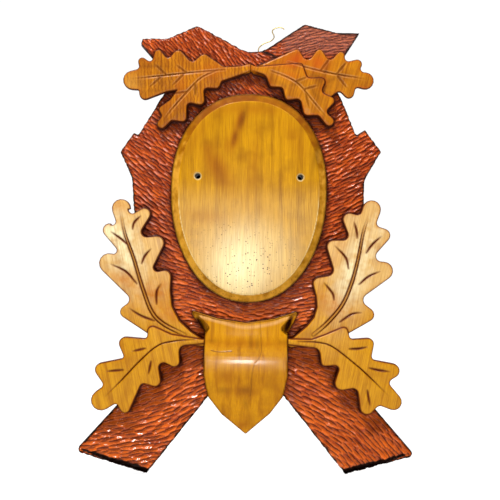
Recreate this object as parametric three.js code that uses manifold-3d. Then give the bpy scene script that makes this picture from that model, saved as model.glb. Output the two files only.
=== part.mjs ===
// Antler mounting plaque: a carved board of crossed logs with a bare oval where the skull plate is fixed,
// four oak leaf sprays, a scroll-cornered shield, a hidden hanging ring and the tail of its wire.
// Millimetres. Every piece is drawn lying face up, with +Y to the top of the plaque and +Z to the viewer,
// and the last lines stand the plaque up: +Z up, its face to -Y and its flat back on Y = 0.
// The origin is on the back, behind the middle of the oval.

import * as THREE from 'three';
import { mergeVertices } from 'three/addons/utils/BufferGeometryUtils.js';
import Module from 'manifold-3d';

const wasm = await Module();
wasm.setup();

// Main sizes
const boardWidth = 444;
const boardHeight = 600;
const boardThickness = 20;
const boardChamfer = 3;
const logStep = 3;
const ovalWidth = 205;
const ovalHeight = 275;
const ovalThickness = 15;
const ovalChamfer = 10;
const ovalChamferDepth = 7;
const shieldWidth = 140;
const shieldHeight = 161;
const shieldThickness = 24;
const shieldDrop = 12;
const shieldChamfer = 1.5;
const hollowDepth = 9;
const stemRise = 33;

// Leaf sizes
const leafChamfer = 2;
const leafCrown = 2.2;
const grooveWidth = 2.6;
const veinWidth = 3;
const ribRootWidth = 4.4;
const ribTipWidth = 2.6;
const upperLeftLongLength = 168;
const upperLeftShortLength = 144;
const upperLeftThickness = 11;
const upperRightFrontLength = 129;
const upperRightBackLength = 162;
const upperRightFrontThickness = 13;
const upperRightBackThickness = 8;
const lowerLeftTallLength = 215;
const lowerLeftShortLength = 170;
const lowerRightTallLength = 214;
const lowerRightShortLength = 168;
const lowerTallThickness = 11;
const lowerShortThickness = 16;

// Holes, screws and clearances
const seatGap = 0.3;
const antlerHoleDiameter = 6.6;
const antlerHoleSpacing = 135;
const antlerHoleRise = 28;
const screwDiameter = 3.5;
const screwHeadDiameter = 7;
const screwClearance = 0.3;
const screwSink = 0.5;
const cutOverrun = 2;
const shortestEdge = 0.5;

// Hanging hardware
const pocketWidth = 28;
const pocketDepth = 7;
const pocketBelowAxis = 36;
const ringWire = 2.8;
const ringInnerWidth = 14;
const ringInnerLength = 18;
const strapWidth = 11;
const strapSheet = 1.2;
const strapLength = 32;
const strapScrewPitch = 19;
const strapScrewDrop = 7;
const strapScrewDiameter = 3;
const strapScrewHead = 6;
const strapScrewHeadHeight = 1.6;
const strapScrewLength = 11;
const hangingWire = 1.6;

// Facets
const arcStep = Math.PI / 7;
const roundSides = 10;
const ovalSides = 64;
const leafRows = 10;
const leafColumns = 6;
const wireSides = 8;
const grooveSides = 4;
const ringSteps = 24;
const hangingWireSteps = 40;

// Leaf outlines. Each row is a circle that the edge runs round: along the leaf, across it to the right,
// and the radius, in shares of the leaf's length. A lobe has a positive radius and a notch a negative one.
// The rows climb the right side, pass the tip and come down the left.
const upperLeftLongShares = [
  [-0.03, 0.03, 0], [0.2, 0.045, -0.014], [0.36, 0.105, 0.038], [0.45, 0.128, -0.036], [0.56, 0.145, 0.042],
  [0.64, 0.161, -0.027], [0.715, 0.17, 0.032], [0.785, 0.142, -0.026], [0.845, 0.115, 0.033],
  [0.895, 0.08, -0.022], [0.93, -0.025, 0.075], [0.9, -0.118, -0.014], [0.84, -0.14, 0.045],
  [0.665, -0.165, -0.03], [0.3, -0.06, 0.04], [-0.03, -0.012, 0],
];
const upperLeftShortShares = [
  [-0.03, 0.04, 0], [0.2, 0.16, -0.03], [0.45, 0.22, 0.06], [0.78, 0.195, -0.043], [0.885, 0.115, 0.03],
  [0.945, 0.085, -0.03], [0.958, 0.003, 0.042], [0.87, -0.05, -0.03], [0.765, -0.05, 0.037],
  [0.65, -0.005, -0.034], [0.545, 0, 0.042], [0.445, 0.03, -0.033], [0.345, 0.04, 0.032],
  [0.2, -0.118, -0.18], [-0.03, -0.01, 0],
];
const upperRightFrontShares = [
  [-0.03, 0.03, 0], [0.15, 0.06, -0.085], [0.27, 0, 0.034], [0.375, 0.015, -0.035], [0.48, 0.01, 0.04],
  [0.59, 0.025, -0.046], [0.725, 0.02, 0.05], [0.85, 0.04, -0.04], [0.965, -0.018, 0.05],
  [0.925, -0.11, -0.04], [0.855, -0.195, 0.045], [0.76, -0.265, -0.042], [0.665, -0.3, 0.045],
  [0.53, -0.315, -0.05], [0.4, -0.295, 0.045], [0.03, -0.05, 0], [-0.04, -0.03, 0],
];
const upperRightBackShares = [
  [0.02, 0.03, 0], [0.64, 0.15, 0.04], [0.735, 0.165, -0.033], [0.815, 0.135, 0.043], [0.885, 0.108, -0.022],
  [0.94, 0.025, 0.07], [0.925, -0.075, -0.03], [0.865, -0.105, 0.04], [0.79, -0.155, -0.03],
  [0.725, -0.165, 0.035], [0.64, -0.165, -0.034], [0.55, -0.17, 0.035], [0.455, -0.155, -0.038],
  [0.365, -0.16, 0.033], [0.02, -0.012, 0],
];
const lowerLeftTallShares = [
  [-0.04, 0.01, 0], [0.2, 0.21, -0.284], [0.45, -0.01, 0.038], [0.52, -0.02, -0.025], [0.65, 0.055, 0.043],
  [0.742, 0.035, -0.032], [0.843, 0.08, 0.037], [0.905, 0.03, -0.025], [0.945, -0.025, 0.058],
  [0.905, -0.115, -0.022], [0.868, -0.155, 0.042], [0.75, -0.2, -0.022], [0.695, -0.262, 0.062],
  [0.46, -0.3, -0.035], [0.385, -0.325, 0.038], [0.17, -0.22, 0.04], [-0.04, -0.03, 0],
];
const lowerLeftShortShares = [
  [-0.04, -0.035, 0], [0.09, 0.064, 0], [0.2, 0.155, 0], [0.315, 0.245, 0.04], [0.388, 0.252, -0.025],
  [0.545, 0.27, 0.05], [0.625, 0.203, -0.022], [0.805, 0.185, 0.052], [0.88, 0.095, -0.03],
  [0.925, -0.02, 0.08], [0.855, -0.12, -0.022], [0.795, -0.165, 0.038], [0.59, -0.1, -0.032],
  [0.49, -0.095, 0.045], [0.38, -0.04, -0.038], [0.285, -0.04, 0.042], [0.17, -0.02, -0.052], [-0.02, -0.05, 0],
];
const lowerRightTallShares = [
  [-0.04, 0.03, 0], [0.17, 0.22, 0.04], [0.375, 0.335, 0.042], [0.46, 0.3, -0.038], [0.66, 0.285, 0.056],
  [0.73, 0.225, -0.033], [0.847, 0.172, 0.042], [0.905, 0.12, -0.026], [0.948, 0.028, 0.057],
  [0.897, -0.045, -0.026], [0.825, -0.06, 0.04], [0.722, -0.045, -0.032], [0.63, -0.06, 0.04],
  [0.488, -0.02, -0.038], [0.39, -0.02, 0.038], [0.185, -0.12, -0.178], [-0.04, -0.01, 0],
];
const lowerRightShortShares = [
  [-0.02, 0.05, 0], [0.215, 0.01, -0.052], [0.325, 0.02, 0.03], [0.42, 0.03, -0.03], [0.52, 0.1, 0.055],
  [0.635, 0.13, -0.042], [0.785, 0.17, 0.055], [0.885, 0.14, -0.035], [0.945, 0.03, 0.065],
  [0.875, -0.1, -0.032], [0.82, -0.18, 0.055], [0.65, -0.215, -0.032], [0.55, -0.27, 0.046],
  [0.415, -0.27, -0.028], [0.335, -0.26, 0.035], [0.22, -0.17, 0], [0.147, -0.087, 0], [-0.04, 0.01, 0],
];

// Midribs and side veins, along and across in shares of the leaf's length
const upperLeftLongRibShares = [[0.2, 0.008], [0.5, 0], [0.75, -0.01], [0.95, -0.015]];
const upperLeftShortRibShares = [[0.25, 0.15], [0.43, 0.17], [0.6, 0.13], [0.8, 0.07], [0.93, 0.02]];
const upperRightFrontRibShares = [[0.18, -0.1], [0.35, -0.14], [0.5, -0.15], [0.7, -0.095], [0.94, -0.03]];
const upperRightBackRibShares = [[0.3, -0.08], [0.55, -0.03], [0.75, -0.005], [0.95, 0.01]];
const lowerLeftTallRibShares = [
  [0.08, -0.09], [0.2, -0.165], [0.3, -0.19], [0.45, -0.165], [0.65, -0.115], [0.8, -0.085], [0.95, -0.03],
];
const lowerLeftShortRibShares = [
  [0.06, 0.03], [0.2, 0.095], [0.33, 0.13], [0.5, 0.1], [0.7, 0.04], [0.9, -0.015],
];
const lowerRightTallRibShares = [
  [0.1, 0.11], [0.2, 0.145], [0.35, 0.17], [0.5, 0.15], [0.65, 0.108], [0.8, 0.055], [0.92, 0.03],
];
const lowerRightShortRibShares = [
  [0.06, -0.02], [0.2, -0.09], [0.32, -0.115], [0.55, -0.08], [0.7, -0.045], [0.9, 0.01],
];
const upperLeftLongVeinShares = [
  [[0.5, 0], [0.58, 0.07]], [[0.66, -0.005], [0.75, 0.09]],
  [[0.52, 0], [0.62, -0.09]], [[0.7, -0.01], [0.8, -0.09]],
];
const upperLeftShortVeinShares = [[[0.6, 0.13], [0.74, 0.19]], [[0.5, 0.155], [0.56, 0.05]]];
const upperRightFrontVeinShares = [
  [[0.57, -0.14], [0.66, -0.25]], [[0.45, -0.15], [0.53, -0.27]], [[0.6, -0.12], [0.72, -0.01]],
];
const upperRightBackVeinShares = [
  [[0.57, -0.03], [0.64, -0.14]], [[0.7, -0.01], [0.78, -0.12]], [[0.7, -0.01], [0.8, 0.1]],
];
const lowerLeftTallVeinShares = [
  [[0.25, -0.205], [0.32, -0.26], [0.4, -0.3]], [[0.5, -0.18], [0.6, -0.2], [0.69, -0.26]],
  [[0.73, -0.105], [0.78, -0.12], [0.86, -0.155]], [[0.8, -0.03], [0.83, 0], [0.845, 0.06]],
  [[0.59, -0.09], [0.62, -0.05], [0.64, 0.01]], [[0.33, -0.14], [0.395, -0.1], [0.425, -0.05]],
];
const lowerLeftShortVeinShares = [
  [[0.66, 0.1], [0.78, 0.155]], [[0.43, 0.16], [0.53, 0.19]], [[0.44, 0.05], [0.51, -0.03]],
];
const lowerRightTallVeinShares = [
  [[0.7, 0.135], [0.76, 0.14], [0.84, 0.165]], [[0.51, 0.195], [0.58, 0.22], [0.65, 0.27]],
  [[0.25, 0.21], [0.33, 0.25], [0.37, 0.3]], [[0.75, 0.04], [0.78, 0.02], [0.83, -0.03]],
  [[0.56, 0.09], [0.61, 0.04], [0.64, -0.06]], [[0.35, 0.11], [0.38, 0.08], [0.41, 0]],
];
const lowerRightShortVeinShares = [
  [[0.65, -0.11], [0.72, -0.13], [0.81, -0.165]], [[0.44, -0.165], [0.5, -0.2], [0.56, -0.25]],
  [[0.72, 0.05], [0.8, 0.15]],
];

// The board's outline: across in shares of its width, up in shares of its height, radius in shares of width
const boardShares = [
  [0.3, -0.608, 0], [0.488, -0.56, 0.012], [0.43, -0.33, -0.15], [0.315, -0.02, 0.03], [0.39, 0.035, -0.045],
  [0.395, 0.108, 0], [0.345, 0.156, 0], [0.32, 0.144, 0], [0.25, 0.225, 0.02], [0.27, 0.277, -0.035],
  [0.27, 0.322, 0.012], [0.325, 0.37, 0], [0.26, 0.37, 0], [0.162, 0.379, 0.012], [0.008, 0.384, -0.08],
  [-0.16, 0.371, 0.014], [-0.25, 0.353, 0], [-0.324, 0.352, 0], [-0.33, 0.338, 0], [-0.28, 0.31, 0.012],
  [-0.275, 0.262, -0.035], [-0.26, 0.2, 0.02], [-0.334, 0.138, 0], [-0.347, 0.143, 0], [-0.387, 0.1, 0],
  [-0.39, 0.035, -0.04], [-0.315, -0.02, 0.03], [-0.43, -0.33, -0.15], [-0.49, -0.56, 0.012],
  [-0.295, -0.612, 0], [0, -0.44, -0.09],
];

// The part of the right log that passes behind the left one, in the same shares
const logStepShares = [[-0.01, 0.34], [0.12, 0.3], [0.2, 0.27], [0.42, 0.3], [0.42, 0.45], [0.02, 0.45]];

// The oval: how square its corners are, and how much narrower its foot is than its head
const ovalPowerShare = 2.15;
const ovalEggShare = 0.06;

// The shield's outline from its tip, up the right side, round the ears and down the left: across in shares of
// its width, up from its top in shares of its height, radius in shares of its width. Each ear has a hollow.
const shieldShares = [
  [0, -0.988, 0.012], [-0.085, -0.522, 0.47], [0.4, -0.175, -0.02], [0.458, -0.016, 0.014],
  [-0.02, 0.686, -0.9], [-0.505, -0.016, 0.014], [-0.415, -0.175, -0.02], [0.07, -0.522, 0.47],
];
const rightHollowShares = [[0.42, -0.035, 0.006], [0.35, -0.135, 0.026], [0.369, -0.18, 0.008]];
const leftHollowShares = [[-0.404, -0.18, 0.008], [-0.385, -0.135, 0.026], [-0.458, -0.035, 0.006]];
const hollowLevelShare = 0.66;

// The shield's side view: up in shares of its height, forward in shares of its thickness
const shieldProfileShares = [
  [0.05, 0.6], [-0.08, 0.68], [-0.2, 0.64], [-0.29, 0.7], [-0.36, 0.92], [-0.42, 1], [-0.52, 0.97],
  [-0.76, 0.72], [-1.05, 0.4],
];

// Screws from behind: across and up in shares of the width and height, and how much of the thickness they bite
const ovalScrewShares = [[-0.3, 0.28], [0.3, 0.28], [-0.3, -0.25], [0.3, -0.25]];
const shieldScrewShares = [[0, -0.2], [0, -0.36]];
const ovalBiteShare = 0.6;
const leafBiteShare = 0.6;
const shieldBiteShare = 0.45;

// Where the lower leaves spring from behind the shield, and how high the hanging ring's pin is on the board
const springShares = [0.405, -0.225];
const hangerRiseShare = 0.2933;

// The carved crown of a leaf: how wide it is, how far it goes on falling past that, and where the tip begins
const crownWidthShare = 0.3;
const crownLimitShare = 1.4;
const crownTipShare = 0.6;
const crownReachShare = 1.2;
const screwCrownShare = 0.6;

const clamp = (value, low, high) => Math.min(Math.max(value, low), high);
const radians = (degrees) => degrees * Math.PI / 180;

// Walks anticlockwise round a chain of circles given as [x, y, radius]
function chainPoints(circles) {
  const count = circles.length;
  const leaving = circles.map(([x, y, radius], i) => {
    const [nextX, nextY, nextRadius] = circles[(i + 1) % count];
    const reach = Math.hypot(nextX - x, nextY - y);
    return Math.atan2(nextY - y, nextX - x) - Math.acos(clamp((radius - nextRadius) / reach, -1, 1));
  });
  const points = [];
  circles.forEach(([x, y, radius], i) => {
    const start = leaving[(i + count - 1) % count];
    let turn = radius === 0 ? 0 : leaving[i] - start;
    while (turn * Math.sign(radius) < -Math.PI / 2) turn += Math.sign(radius) * 2 * Math.PI;
    while (turn * Math.sign(radius) > Math.PI * 1.5) turn -= Math.sign(radius) * 2 * Math.PI;
    const steps = Math.ceil(Math.abs(turn) / arcStep);
    for (let k = 0; k <= steps; k += 1) {
      const angle = start + (steps ? turn * k / steps : 0);
      points.push(new THREE.Vector2(x + radius * Math.cos(angle), y + radius * Math.sin(angle)));
    }
  });
  return points.filter((point, i) => point.distanceTo(points[(i + 1) % points.length]) > shortestEdge);
}

// Turns a three.js geometry into a solid that can be joined and cut, and back
function solidOf(geometry) {
  const bare = geometry.clone();
  bare.deleteAttribute('normal');
  bare.deleteAttribute('uv');
  const welded = mergeVertices(bare);
  const vertProperties = new Float32Array(welded.attributes.position.array);
  const triVerts = new Uint32Array(welded.index.array);
  return new wasm.Manifold(new wasm.Mesh({ numProp: 3, vertProperties, triVerts }));
}

function geometryOf(solid) {
  const mesh = solid.getMesh();
  const geometry = new THREE.BufferGeometry();
  geometry.setAttribute('position', new THREE.BufferAttribute(new Float32Array(mesh.vertProperties), 3));
  geometry.setIndex(new THREE.BufferAttribute(new Uint32Array(mesh.triVerts), 1));
  geometry.computeVertexNormals();
  return geometry;
}

function block(lowCorner, highCorner) {
  const size = new THREE.Vector3().subVectors(highCorner, lowCorner);
  const middle = new THREE.Vector3().addVectors(lowCorner, highCorner).multiplyScalar(1 / 2);
  return new THREE.BoxGeometry(size.x, size.y, size.z).translate(middle.x, middle.y, middle.z);
}

// A flat piece between two heights, cut to an outline, with straight walls
function prism(points, bottom, top) {
  const shape = new THREE.Shape(points);
  const options = { depth: top - bottom, bevelEnabled: false, curveSegments: 1 };
  return solidOf(new THREE.ExtrudeGeometry(shape, options).translate(0, 0, bottom));
}

// The same with a chamfer round its front edge. The chamfer at the back lies under the cut.
function chamferedPlate(points, bottom, top, chamferWidth, chamferDepth) {
  const shape = new THREE.Shape(points);
  const geometry = new THREE.ExtrudeGeometry(shape, {
    depth: top - bottom - chamferDepth,
    bevelThickness: chamferDepth,
    bevelSize: chamferWidth,
    bevelOffset: -chamferWidth,
    bevelSegments: 1,
    curveSegments: 1,
  }).translate(0, 0, bottom);
  const reach = boardWidth + boardHeight;
  const under = block(
    new THREE.Vector3(-reach, -reach, bottom - chamferDepth - cutOverrun),
    new THREE.Vector3(reach, reach, bottom),
  );
  return solidOf(geometry).subtract(solidOf(under));
}

// A round bar or hole along Z
function rod(x, y, radius, bottom, top) {
  const geometry = new THREE.CylinderGeometry(radius, radius, top - bottom, roundSides);
  return solidOf(geometry.rotateX(Math.PI / 2).translate(x, y, (bottom + top) / 2));
}

function turned(profile, x, y) {
  const points = profile.map(([radius, height]) => new THREE.Vector2(radius, height));
  return solidOf(new THREE.LatheGeometry(points, roundSides).rotateX(Math.PI / 2).translate(x, y, 0));
}

// A bar of any section swept along a smooth line of points
function swept(section, points, steps) {
  const options = { steps, bevelEnabled: false, extrudePath: new THREE.CatmullRomCurve3(points) };
  return solidOf(new THREE.ExtrudeGeometry(new THREE.Shape(section), options));
}

function polygon(sides, radius) {
  return Array.from({ length: sides }, (_, k) => {
    const angle = 2 * Math.PI * k / sides;
    return new THREE.Vector2(radius * Math.cos(angle), radius * Math.sin(angle));
  });
}

const front = boardThickness;
const seat = front + seatGap;
const plaque = new THREE.Group();

function addPiece(name, solid, finish) {
  const mesh = new THREE.Mesh(geometryOf(solid), new THREE.MeshStandardMaterial(finish));
  mesh.name = name;
  plaque.add(mesh);
}

const redStain = { color: 0x8f3d1c, roughness: 0.32, metalness: 0 };
const honeyWood = { color: 0xd9a227, roughness: 0.3, metalness: 0 };
const amberWood = { color: 0xd6951c, roughness: 0.32, metalness: 0 };
const paleWood = { color: 0xe0b050, roughness: 0.35, metalness: 0 };
const steel = { color: 0xb9bcc0, roughness: 0.35, metalness: 1 };
const brass = { color: 0xc9a860, roughness: 0.4, metalness: 1 };

// Leaves. local x runs across the leaf and local y along it.
function leafPlace(leaf, along, across) {
  const heading = radians(leaf.heading);
  const reach = leaf.length * along;
  const side = leaf.length * across;
  return [
    leaf.x + reach * Math.cos(heading) + side * Math.sin(heading),
    leaf.y + reach * Math.sin(heading) - side * Math.cos(heading),
  ];
}

function ribAcross(leaf, along) {
  const rows = leaf.ribShares;
  const next = rows.findIndex(([rowAlong]) => rowAlong > along);
  if (next === 0) return rows[0][1];
  if (next < 0) return rows[rows.length - 1][1];
  const [fromAlong, fromAcross] = rows[next - 1];
  const [toAlong, toAcross] = rows[next];
  return fromAcross + (toAcross - fromAcross) * (along - fromAlong) / (toAlong - fromAlong);
}

// How far the carved face lies under the leaf's full thickness: nothing at the midrib, more at the edge
function crownDrop(leaf, along, across) {
  const away = (across - ribAcross(leaf, along)) / crownWidthShare;
  const pastTip = Math.max(along - crownTipShare, 0);
  return leafCrown * (clamp(away * away, 0, crownLimitShare) + pastTip);
}

// A V-shaped cut along a line on a leaf's face, which runs out at both ends
function faceCut(leaf, line, width) {
  const last = line.length - 1;
  const points = line.map(([along, across], i) => {
    const lift = i === 0 || i === last ? width / 2 : 0;
    const level = front + leaf.thickness - crownDrop(leaf, along, across) + lift;
    return new THREE.Vector3(across * leaf.length, along * leaf.length, level);
  });
  return swept(polygon(grooveSides, width / 2), points, 2 * last);
}

// The line beside a midrib, at half the rib's width from its middle
function besideRib(leaf, side) {
  const rows = leaf.ribShares;
  const last = rows.length - 1;
  return rows.map(([along, across], i) => {
    const [beforeAlong, beforeAcross] = rows[Math.max(i - 1, 0)];
    const [afterAlong, afterAcross] = rows[Math.min(i + 1, last)];
    const way = new THREE.Vector2(afterAlong - beforeAlong, afterAcross - beforeAcross).normalize();
    const away = side * THREE.MathUtils.lerp(ribRootWidth, ribTipWidth, i / last) / 2 / leaf.length;
    return [along - way.y * away, across + way.x * away];
  });
}

// The cuts of a leaf: two beside a raised midrib or one along a plain one, and one for each side vein
function leafCuts(leaf) {
  const ribs = leaf.raisedRib ? [besideRib(leaf, -1), besideRib(leaf, 1)] : [leaf.ribShares];
  return [
    ...ribs.map((line) => faceCut(leaf, line, grooveWidth)),
    ...leaf.veinShares.map((line) => faceCut(leaf, line, veinWidth)),
  ];
}

function leafSolid(leaf) {
  const { length, thickness } = leaf;
  const outline = chainPoints(leaf.edgeShares.map(([a, c, r]) => [c * length, a * length, r * length]));
  const plate = chamferedPlate(outline, seat, front + thickness, leafChamfer, leafChamfer);
  const top = seat + thickness + cutOverrun;
  const crownBlock = new THREE.BoxGeometry(length, length * crownReachShare, top, leafColumns, leafRows, 1);
  crownBlock.translate(0, length / 2, seat + top / 2);
  const position = crownBlock.attributes.position;
  for (let i = 0; i < position.count; i += 1) {
    const drop = crownDrop(leaf, position.getY(i) / length, position.getX(i) / length);
    position.setZ(i, position.getZ(i) > top ? front + thickness - drop : seat);
  }
  return leafCuts(leaf)
    .reduce((left, cut) => left.subtract(cut), plate.intersect(solidOf(crownBlock)))
    .rotate([0, 0, leaf.heading - 90])
    .translate([leaf.x, leaf.y, 0]);
}

// A wood screw from behind, countersunk in the back, and the hole for it
function screwProfile(bite, gap) {
  const head = screwHeadDiameter / 2 + gap;
  const shank = screwDiameter / 2 + gap;
  const sink = gap > 0 ? 0 : screwSink;
  const end = front + bite + gap;
  const coneEnd = screwSink + head - shank;
  const mouth = gap > 0
    ? [[0, -cutOverrun], [head, -cutOverrun], [head, screwSink]]
    : [[0, sink], [head, sink]];
  return [...mouth, [shank, coneEnd], [shank, end - shank], [0, end]];
}

const screwPlaces = [];

function screwsUnder(name, places, bite) {
  places.forEach(([x, y], i) => {
    screwPlaces.push({ name: `${name}_screw_${i + 1}`, x, y, bite });
  });
}

const cutScrewHoles = (solid) => screwPlaces.reduce(
  (left, { x, y, bite }) => left.subtract(turned(screwProfile(bite, screwClearance), x, y)),
  solid,
);

// Where things are
const shieldTop = -ovalHeight / 2 - shieldDrop;
const stemHeight = ovalHeight / 2 + stemRise;
const springX = shieldWidth * springShares[0];
const springY = shieldTop + shieldHeight * springShares[1];
const ringAxisHeight = boardHeight * hangerRiseShare;
const eyeRadius = ringWire / 2 + seatGap + strapSheet;
const eyeLevel = pocketDepth - seatGap - eyeRadius;
const strapThickness = 2 * strapSheet;
const strapFace = pocketDepth - seatGap - strapThickness;

const upperLeftLong = {
  x: 0, y: stemHeight, heading: 184.6, length: upperLeftLongLength, thickness: upperLeftThickness,
  edgeShares: upperLeftLongShares, ribShares: upperLeftLongRibShares, veinShares: upperLeftLongVeinShares,
  raisedRib: false, screwShares: [0.36, 0.02],
};
const upperLeftShort = {
  x: 0, y: stemHeight, heading: 212.7, length: upperLeftShortLength, thickness: upperLeftThickness,
  edgeShares: upperLeftShortShares, ribShares: upperLeftShortRibShares, veinShares: upperLeftShortVeinShares,
  raisedRib: false, screwShares: [0.62, 0.1],
};
const upperRightFront = {
  x: 0, y: stemHeight, heading: -34, length: upperRightFrontLength, thickness: upperRightFrontThickness,
  edgeShares: upperRightFrontShares, ribShares: upperRightFrontRibShares, veinShares: upperRightFrontVeinShares,
  raisedRib: false, screwShares: [0.62, -0.07],
};
const upperRightBack = {
  x: 0, y: stemHeight, heading: -3.4, length: upperRightBackLength, thickness: upperRightBackThickness,
  edgeShares: upperRightBackShares, ribShares: upperRightBackRibShares, veinShares: upperRightBackVeinShares,
  raisedRib: false, screwShares: [0.5, -0.1],
};
const lowerLeftTall = {
  x: -springX, y: springY, heading: 121.7, length: lowerLeftTallLength, thickness: lowerTallThickness,
  edgeShares: lowerLeftTallShares, ribShares: lowerLeftTallRibShares, veinShares: lowerLeftTallVeinShares,
  raisedRib: true, screwShares: [0.45, -0.07],
};
const lowerLeftShort = {
  x: -springX, y: springY, heading: 210.5, length: lowerLeftShortLength, thickness: lowerShortThickness,
  edgeShares: lowerLeftShortShares, ribShares: lowerLeftShortRibShares, veinShares: lowerLeftShortVeinShares,
  raisedRib: false, screwShares: [0.36, 0.04],
};
const lowerRightTall = {
  x: springX, y: springY, heading: 60.3, length: lowerRightTallLength, thickness: lowerTallThickness,
  edgeShares: lowerRightTallShares, ribShares: lowerRightTallRibShares, veinShares: lowerRightTallVeinShares,
  raisedRib: true, screwShares: [0.45, 0.07],
};
const lowerRightShort = {
  x: springX, y: springY, heading: -28.3, length: lowerRightShortLength, thickness: lowerShortThickness,
  edgeShares: lowerRightShortShares, ribShares: lowerRightShortRibShares, veinShares: lowerRightShortVeinShares,
  raisedRib: false, screwShares: [0.36, -0.04],
};

const sprays = {
  upper_left: [upperLeftLong, upperLeftShort],
  upper_right: [upperRightBack, upperRightFront],
  lower_left: [lowerLeftTall, lowerLeftShort],
  lower_right: [lowerRightTall, lowerRightShort],
};

const scaled = (rows, width, height, x, y) => rows.map(
  ([across, up, radius]) => [x + across * width, y + up * height, radius * width],
);

// Outlines that other pieces are fitted to
function ovalPoints(margin) {
  return Array.from({ length: ovalSides }, (_, k) => {
    const angle = 2 * Math.PI * k / ovalSides;
    const sine = Math.sin(angle);
    const cosine = Math.cos(angle);
    const power = 2 / ovalPowerShare;
    const egg = 1 + ovalEggShare * sine;
    const across = Math.sign(cosine) * Math.abs(cosine) ** power * egg;
    const up = Math.sign(sine) * Math.abs(sine) ** power;
    return new THREE.Vector2(across * (ovalWidth / 2 + margin), up * (ovalHeight / 2 + margin));
  });
}

function shieldPoints(margin) {
  const circles = scaled(shieldShares, shieldWidth, shieldHeight, 0, shieldTop);
  return chainPoints(circles.map(([x, y, radius]) => [x, y, radius + margin]));
}

// The screws that hold each overlay to the board
function placeScrews() {
  const ovalPlaces = ovalScrewShares.map(([across, up]) => [across * ovalWidth, up * ovalHeight]);
  screwsUnder('oval', ovalPlaces, ovalThickness * ovalBiteShare);
  const shieldPlaces = shieldScrewShares.map(([across, up]) => [
    across * shieldWidth, shieldTop + up * shieldHeight,
  ]);
  screwsUnder('shield', shieldPlaces, shieldThickness * shieldBiteShare);
  Object.entries(sprays).forEach(([name, leaves]) => {
    const places = leaves.map((leaf) => leafPlace(leaf, ...leaf.screwShares));
    const thinnest = Math.min(...leaves.map((leaf) => leaf.thickness));
    screwsUnder(name, places, thinnest * leafBiteShare);
  });
}

function antlerHoles(solid) {
  return [-1, 1].reduce((left, side) => {
    const hole = rod(side * antlerHoleSpacing / 2, antlerHoleRise, antlerHoleDiameter / 2,
      -cutOverrun, front + ovalThickness + cutOverrun);
    return left.subtract(hole);
  }, solid);
}

function backBoard() {
  const outline = chainPoints(scaled(boardShares, boardWidth, boardHeight, 0, 0));
  const step = logStepShares.map(([across, up]) => new THREE.Vector2(across * boardWidth, up * boardHeight));
  const pocket = block(
    new THREE.Vector3(-pocketWidth / 2, ringAxisHeight - pocketBelowAxis, -cutOverrun),
    new THREE.Vector3(pocketWidth / 2, boardHeight / 2, pocketDepth),
  );
  const pilots = strapScrewPlaces().map(([x, y]) => rod(x, y, strapScrewDiameter / 2 + screwClearance,
    pocketDepth - cutOverrun, strapFace + strapScrewLength + screwClearance));
  const plate = chamferedPlate(outline, 0, front, boardChamfer, boardChamfer)
    .subtract(prism(step.reverse(), front - logStep, front + cutOverrun))
    .subtract(solidOf(pocket));
  const piloted = pilots.reduce((left, pilot) => left.subtract(pilot), plate);
  addPiece('back_board', cutScrewHoles(antlerHoles(piloted)), redStain);
}

function ovalPanel() {
  const plate = chamferedPlate(ovalPoints(0), seat, front + ovalThickness, ovalChamfer, ovalChamferDepth);
  addPiece('oval_panel', cutScrewHoles(antlerHoles(plate)), honeyWood);
}

// A pair of leaves cut from one piece of wood, let in round the oval and the shield
function spray(leaves) {
  const height = front + shieldThickness + cutOverrun;
  const joined = leaves.map(leafSolid).reduce((left, leaf) => left.add(leaf));
  const fitted = joined
    .subtract(prism(ovalPoints(seatGap), 0, height))
    .subtract(prism(shieldPoints(seatGap), 0, height));
  return cutScrewHoles(fitted);
}

function leafSprays() {
  const reach = boardWidth + boardHeight;
  const joint = seatGap / 2;
  const right = solidOf(block(new THREE.Vector3(-joint, -reach, 0), new THREE.Vector3(reach, reach, reach)));
  const left = solidOf(block(new THREE.Vector3(-reach, -reach, 0), new THREE.Vector3(joint, reach, reach)));
  addPiece('leaf_spray_upper_left', spray(sprays.upper_left).subtract(right), amberWood);
  addPiece('leaf_spray_upper_right', spray(sprays.upper_right).subtract(left), amberWood);
  addPiece('leaf_spray_lower_left', spray(sprays.lower_left), paleWood);
  addPiece('leaf_spray_lower_right', spray(sprays.lower_right), paleWood);
}

function crestShield() {
  const profile = new THREE.CatmullRomCurve3(shieldProfileShares.map(([up, forward]) => new THREE.Vector3(
    front + forward * shieldThickness, shieldTop + up * shieldHeight, 0,
  )));
  const curve = profile.getPoints(2 * shieldProfileShares.length).map(({ x, y }) => new THREE.Vector2(x, y));
  const last = curve[curve.length - 1];
  const side = [new THREE.Vector2(seat, last.y), new THREE.Vector2(seat, curve[0].y), ...curve].reverse();
  const options = { depth: 2 * shieldWidth, bevelEnabled: false };
  const across = new THREE.ExtrudeGeometry(new THREE.Shape(side), options)
    .translate(0, 0, -shieldWidth)
    .rotateY(-Math.PI / 2);
  const plate = chamferedPlate(shieldPoints(0), seat, front + shieldThickness, shieldChamfer, shieldChamfer);
  const top = front + shieldThickness + cutOverrun;
  const floor = front + shieldThickness * hollowLevelShare - hollowDepth;
  const hollows = [rightHollowShares, leftHollowShares].map((rows) => prism(
    chainPoints(scaled(rows, shieldWidth, shieldHeight, 0, shieldTop)), floor, top,
  ));
  const carved = hollows.reduce((left, hollow) => left.subtract(hollow), plate.intersect(solidOf(across)));
  addPiece('crest_shield', cutScrewHoles(carved), amberWood);
}

function screws() {
  screwPlaces.forEach(({ name, x, y, bite }) => {
    addPiece(name, turned(screwProfile(bite, 0), x, y), steel);
  });
}

// The hanger: a strap folded double round the ring, in a pocket in the back
function strapScrewPlaces() {
  return [0, 1].map((k) => [0, ringAxisHeight - strapScrewDrop - k * strapScrewPitch]);
}

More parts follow.
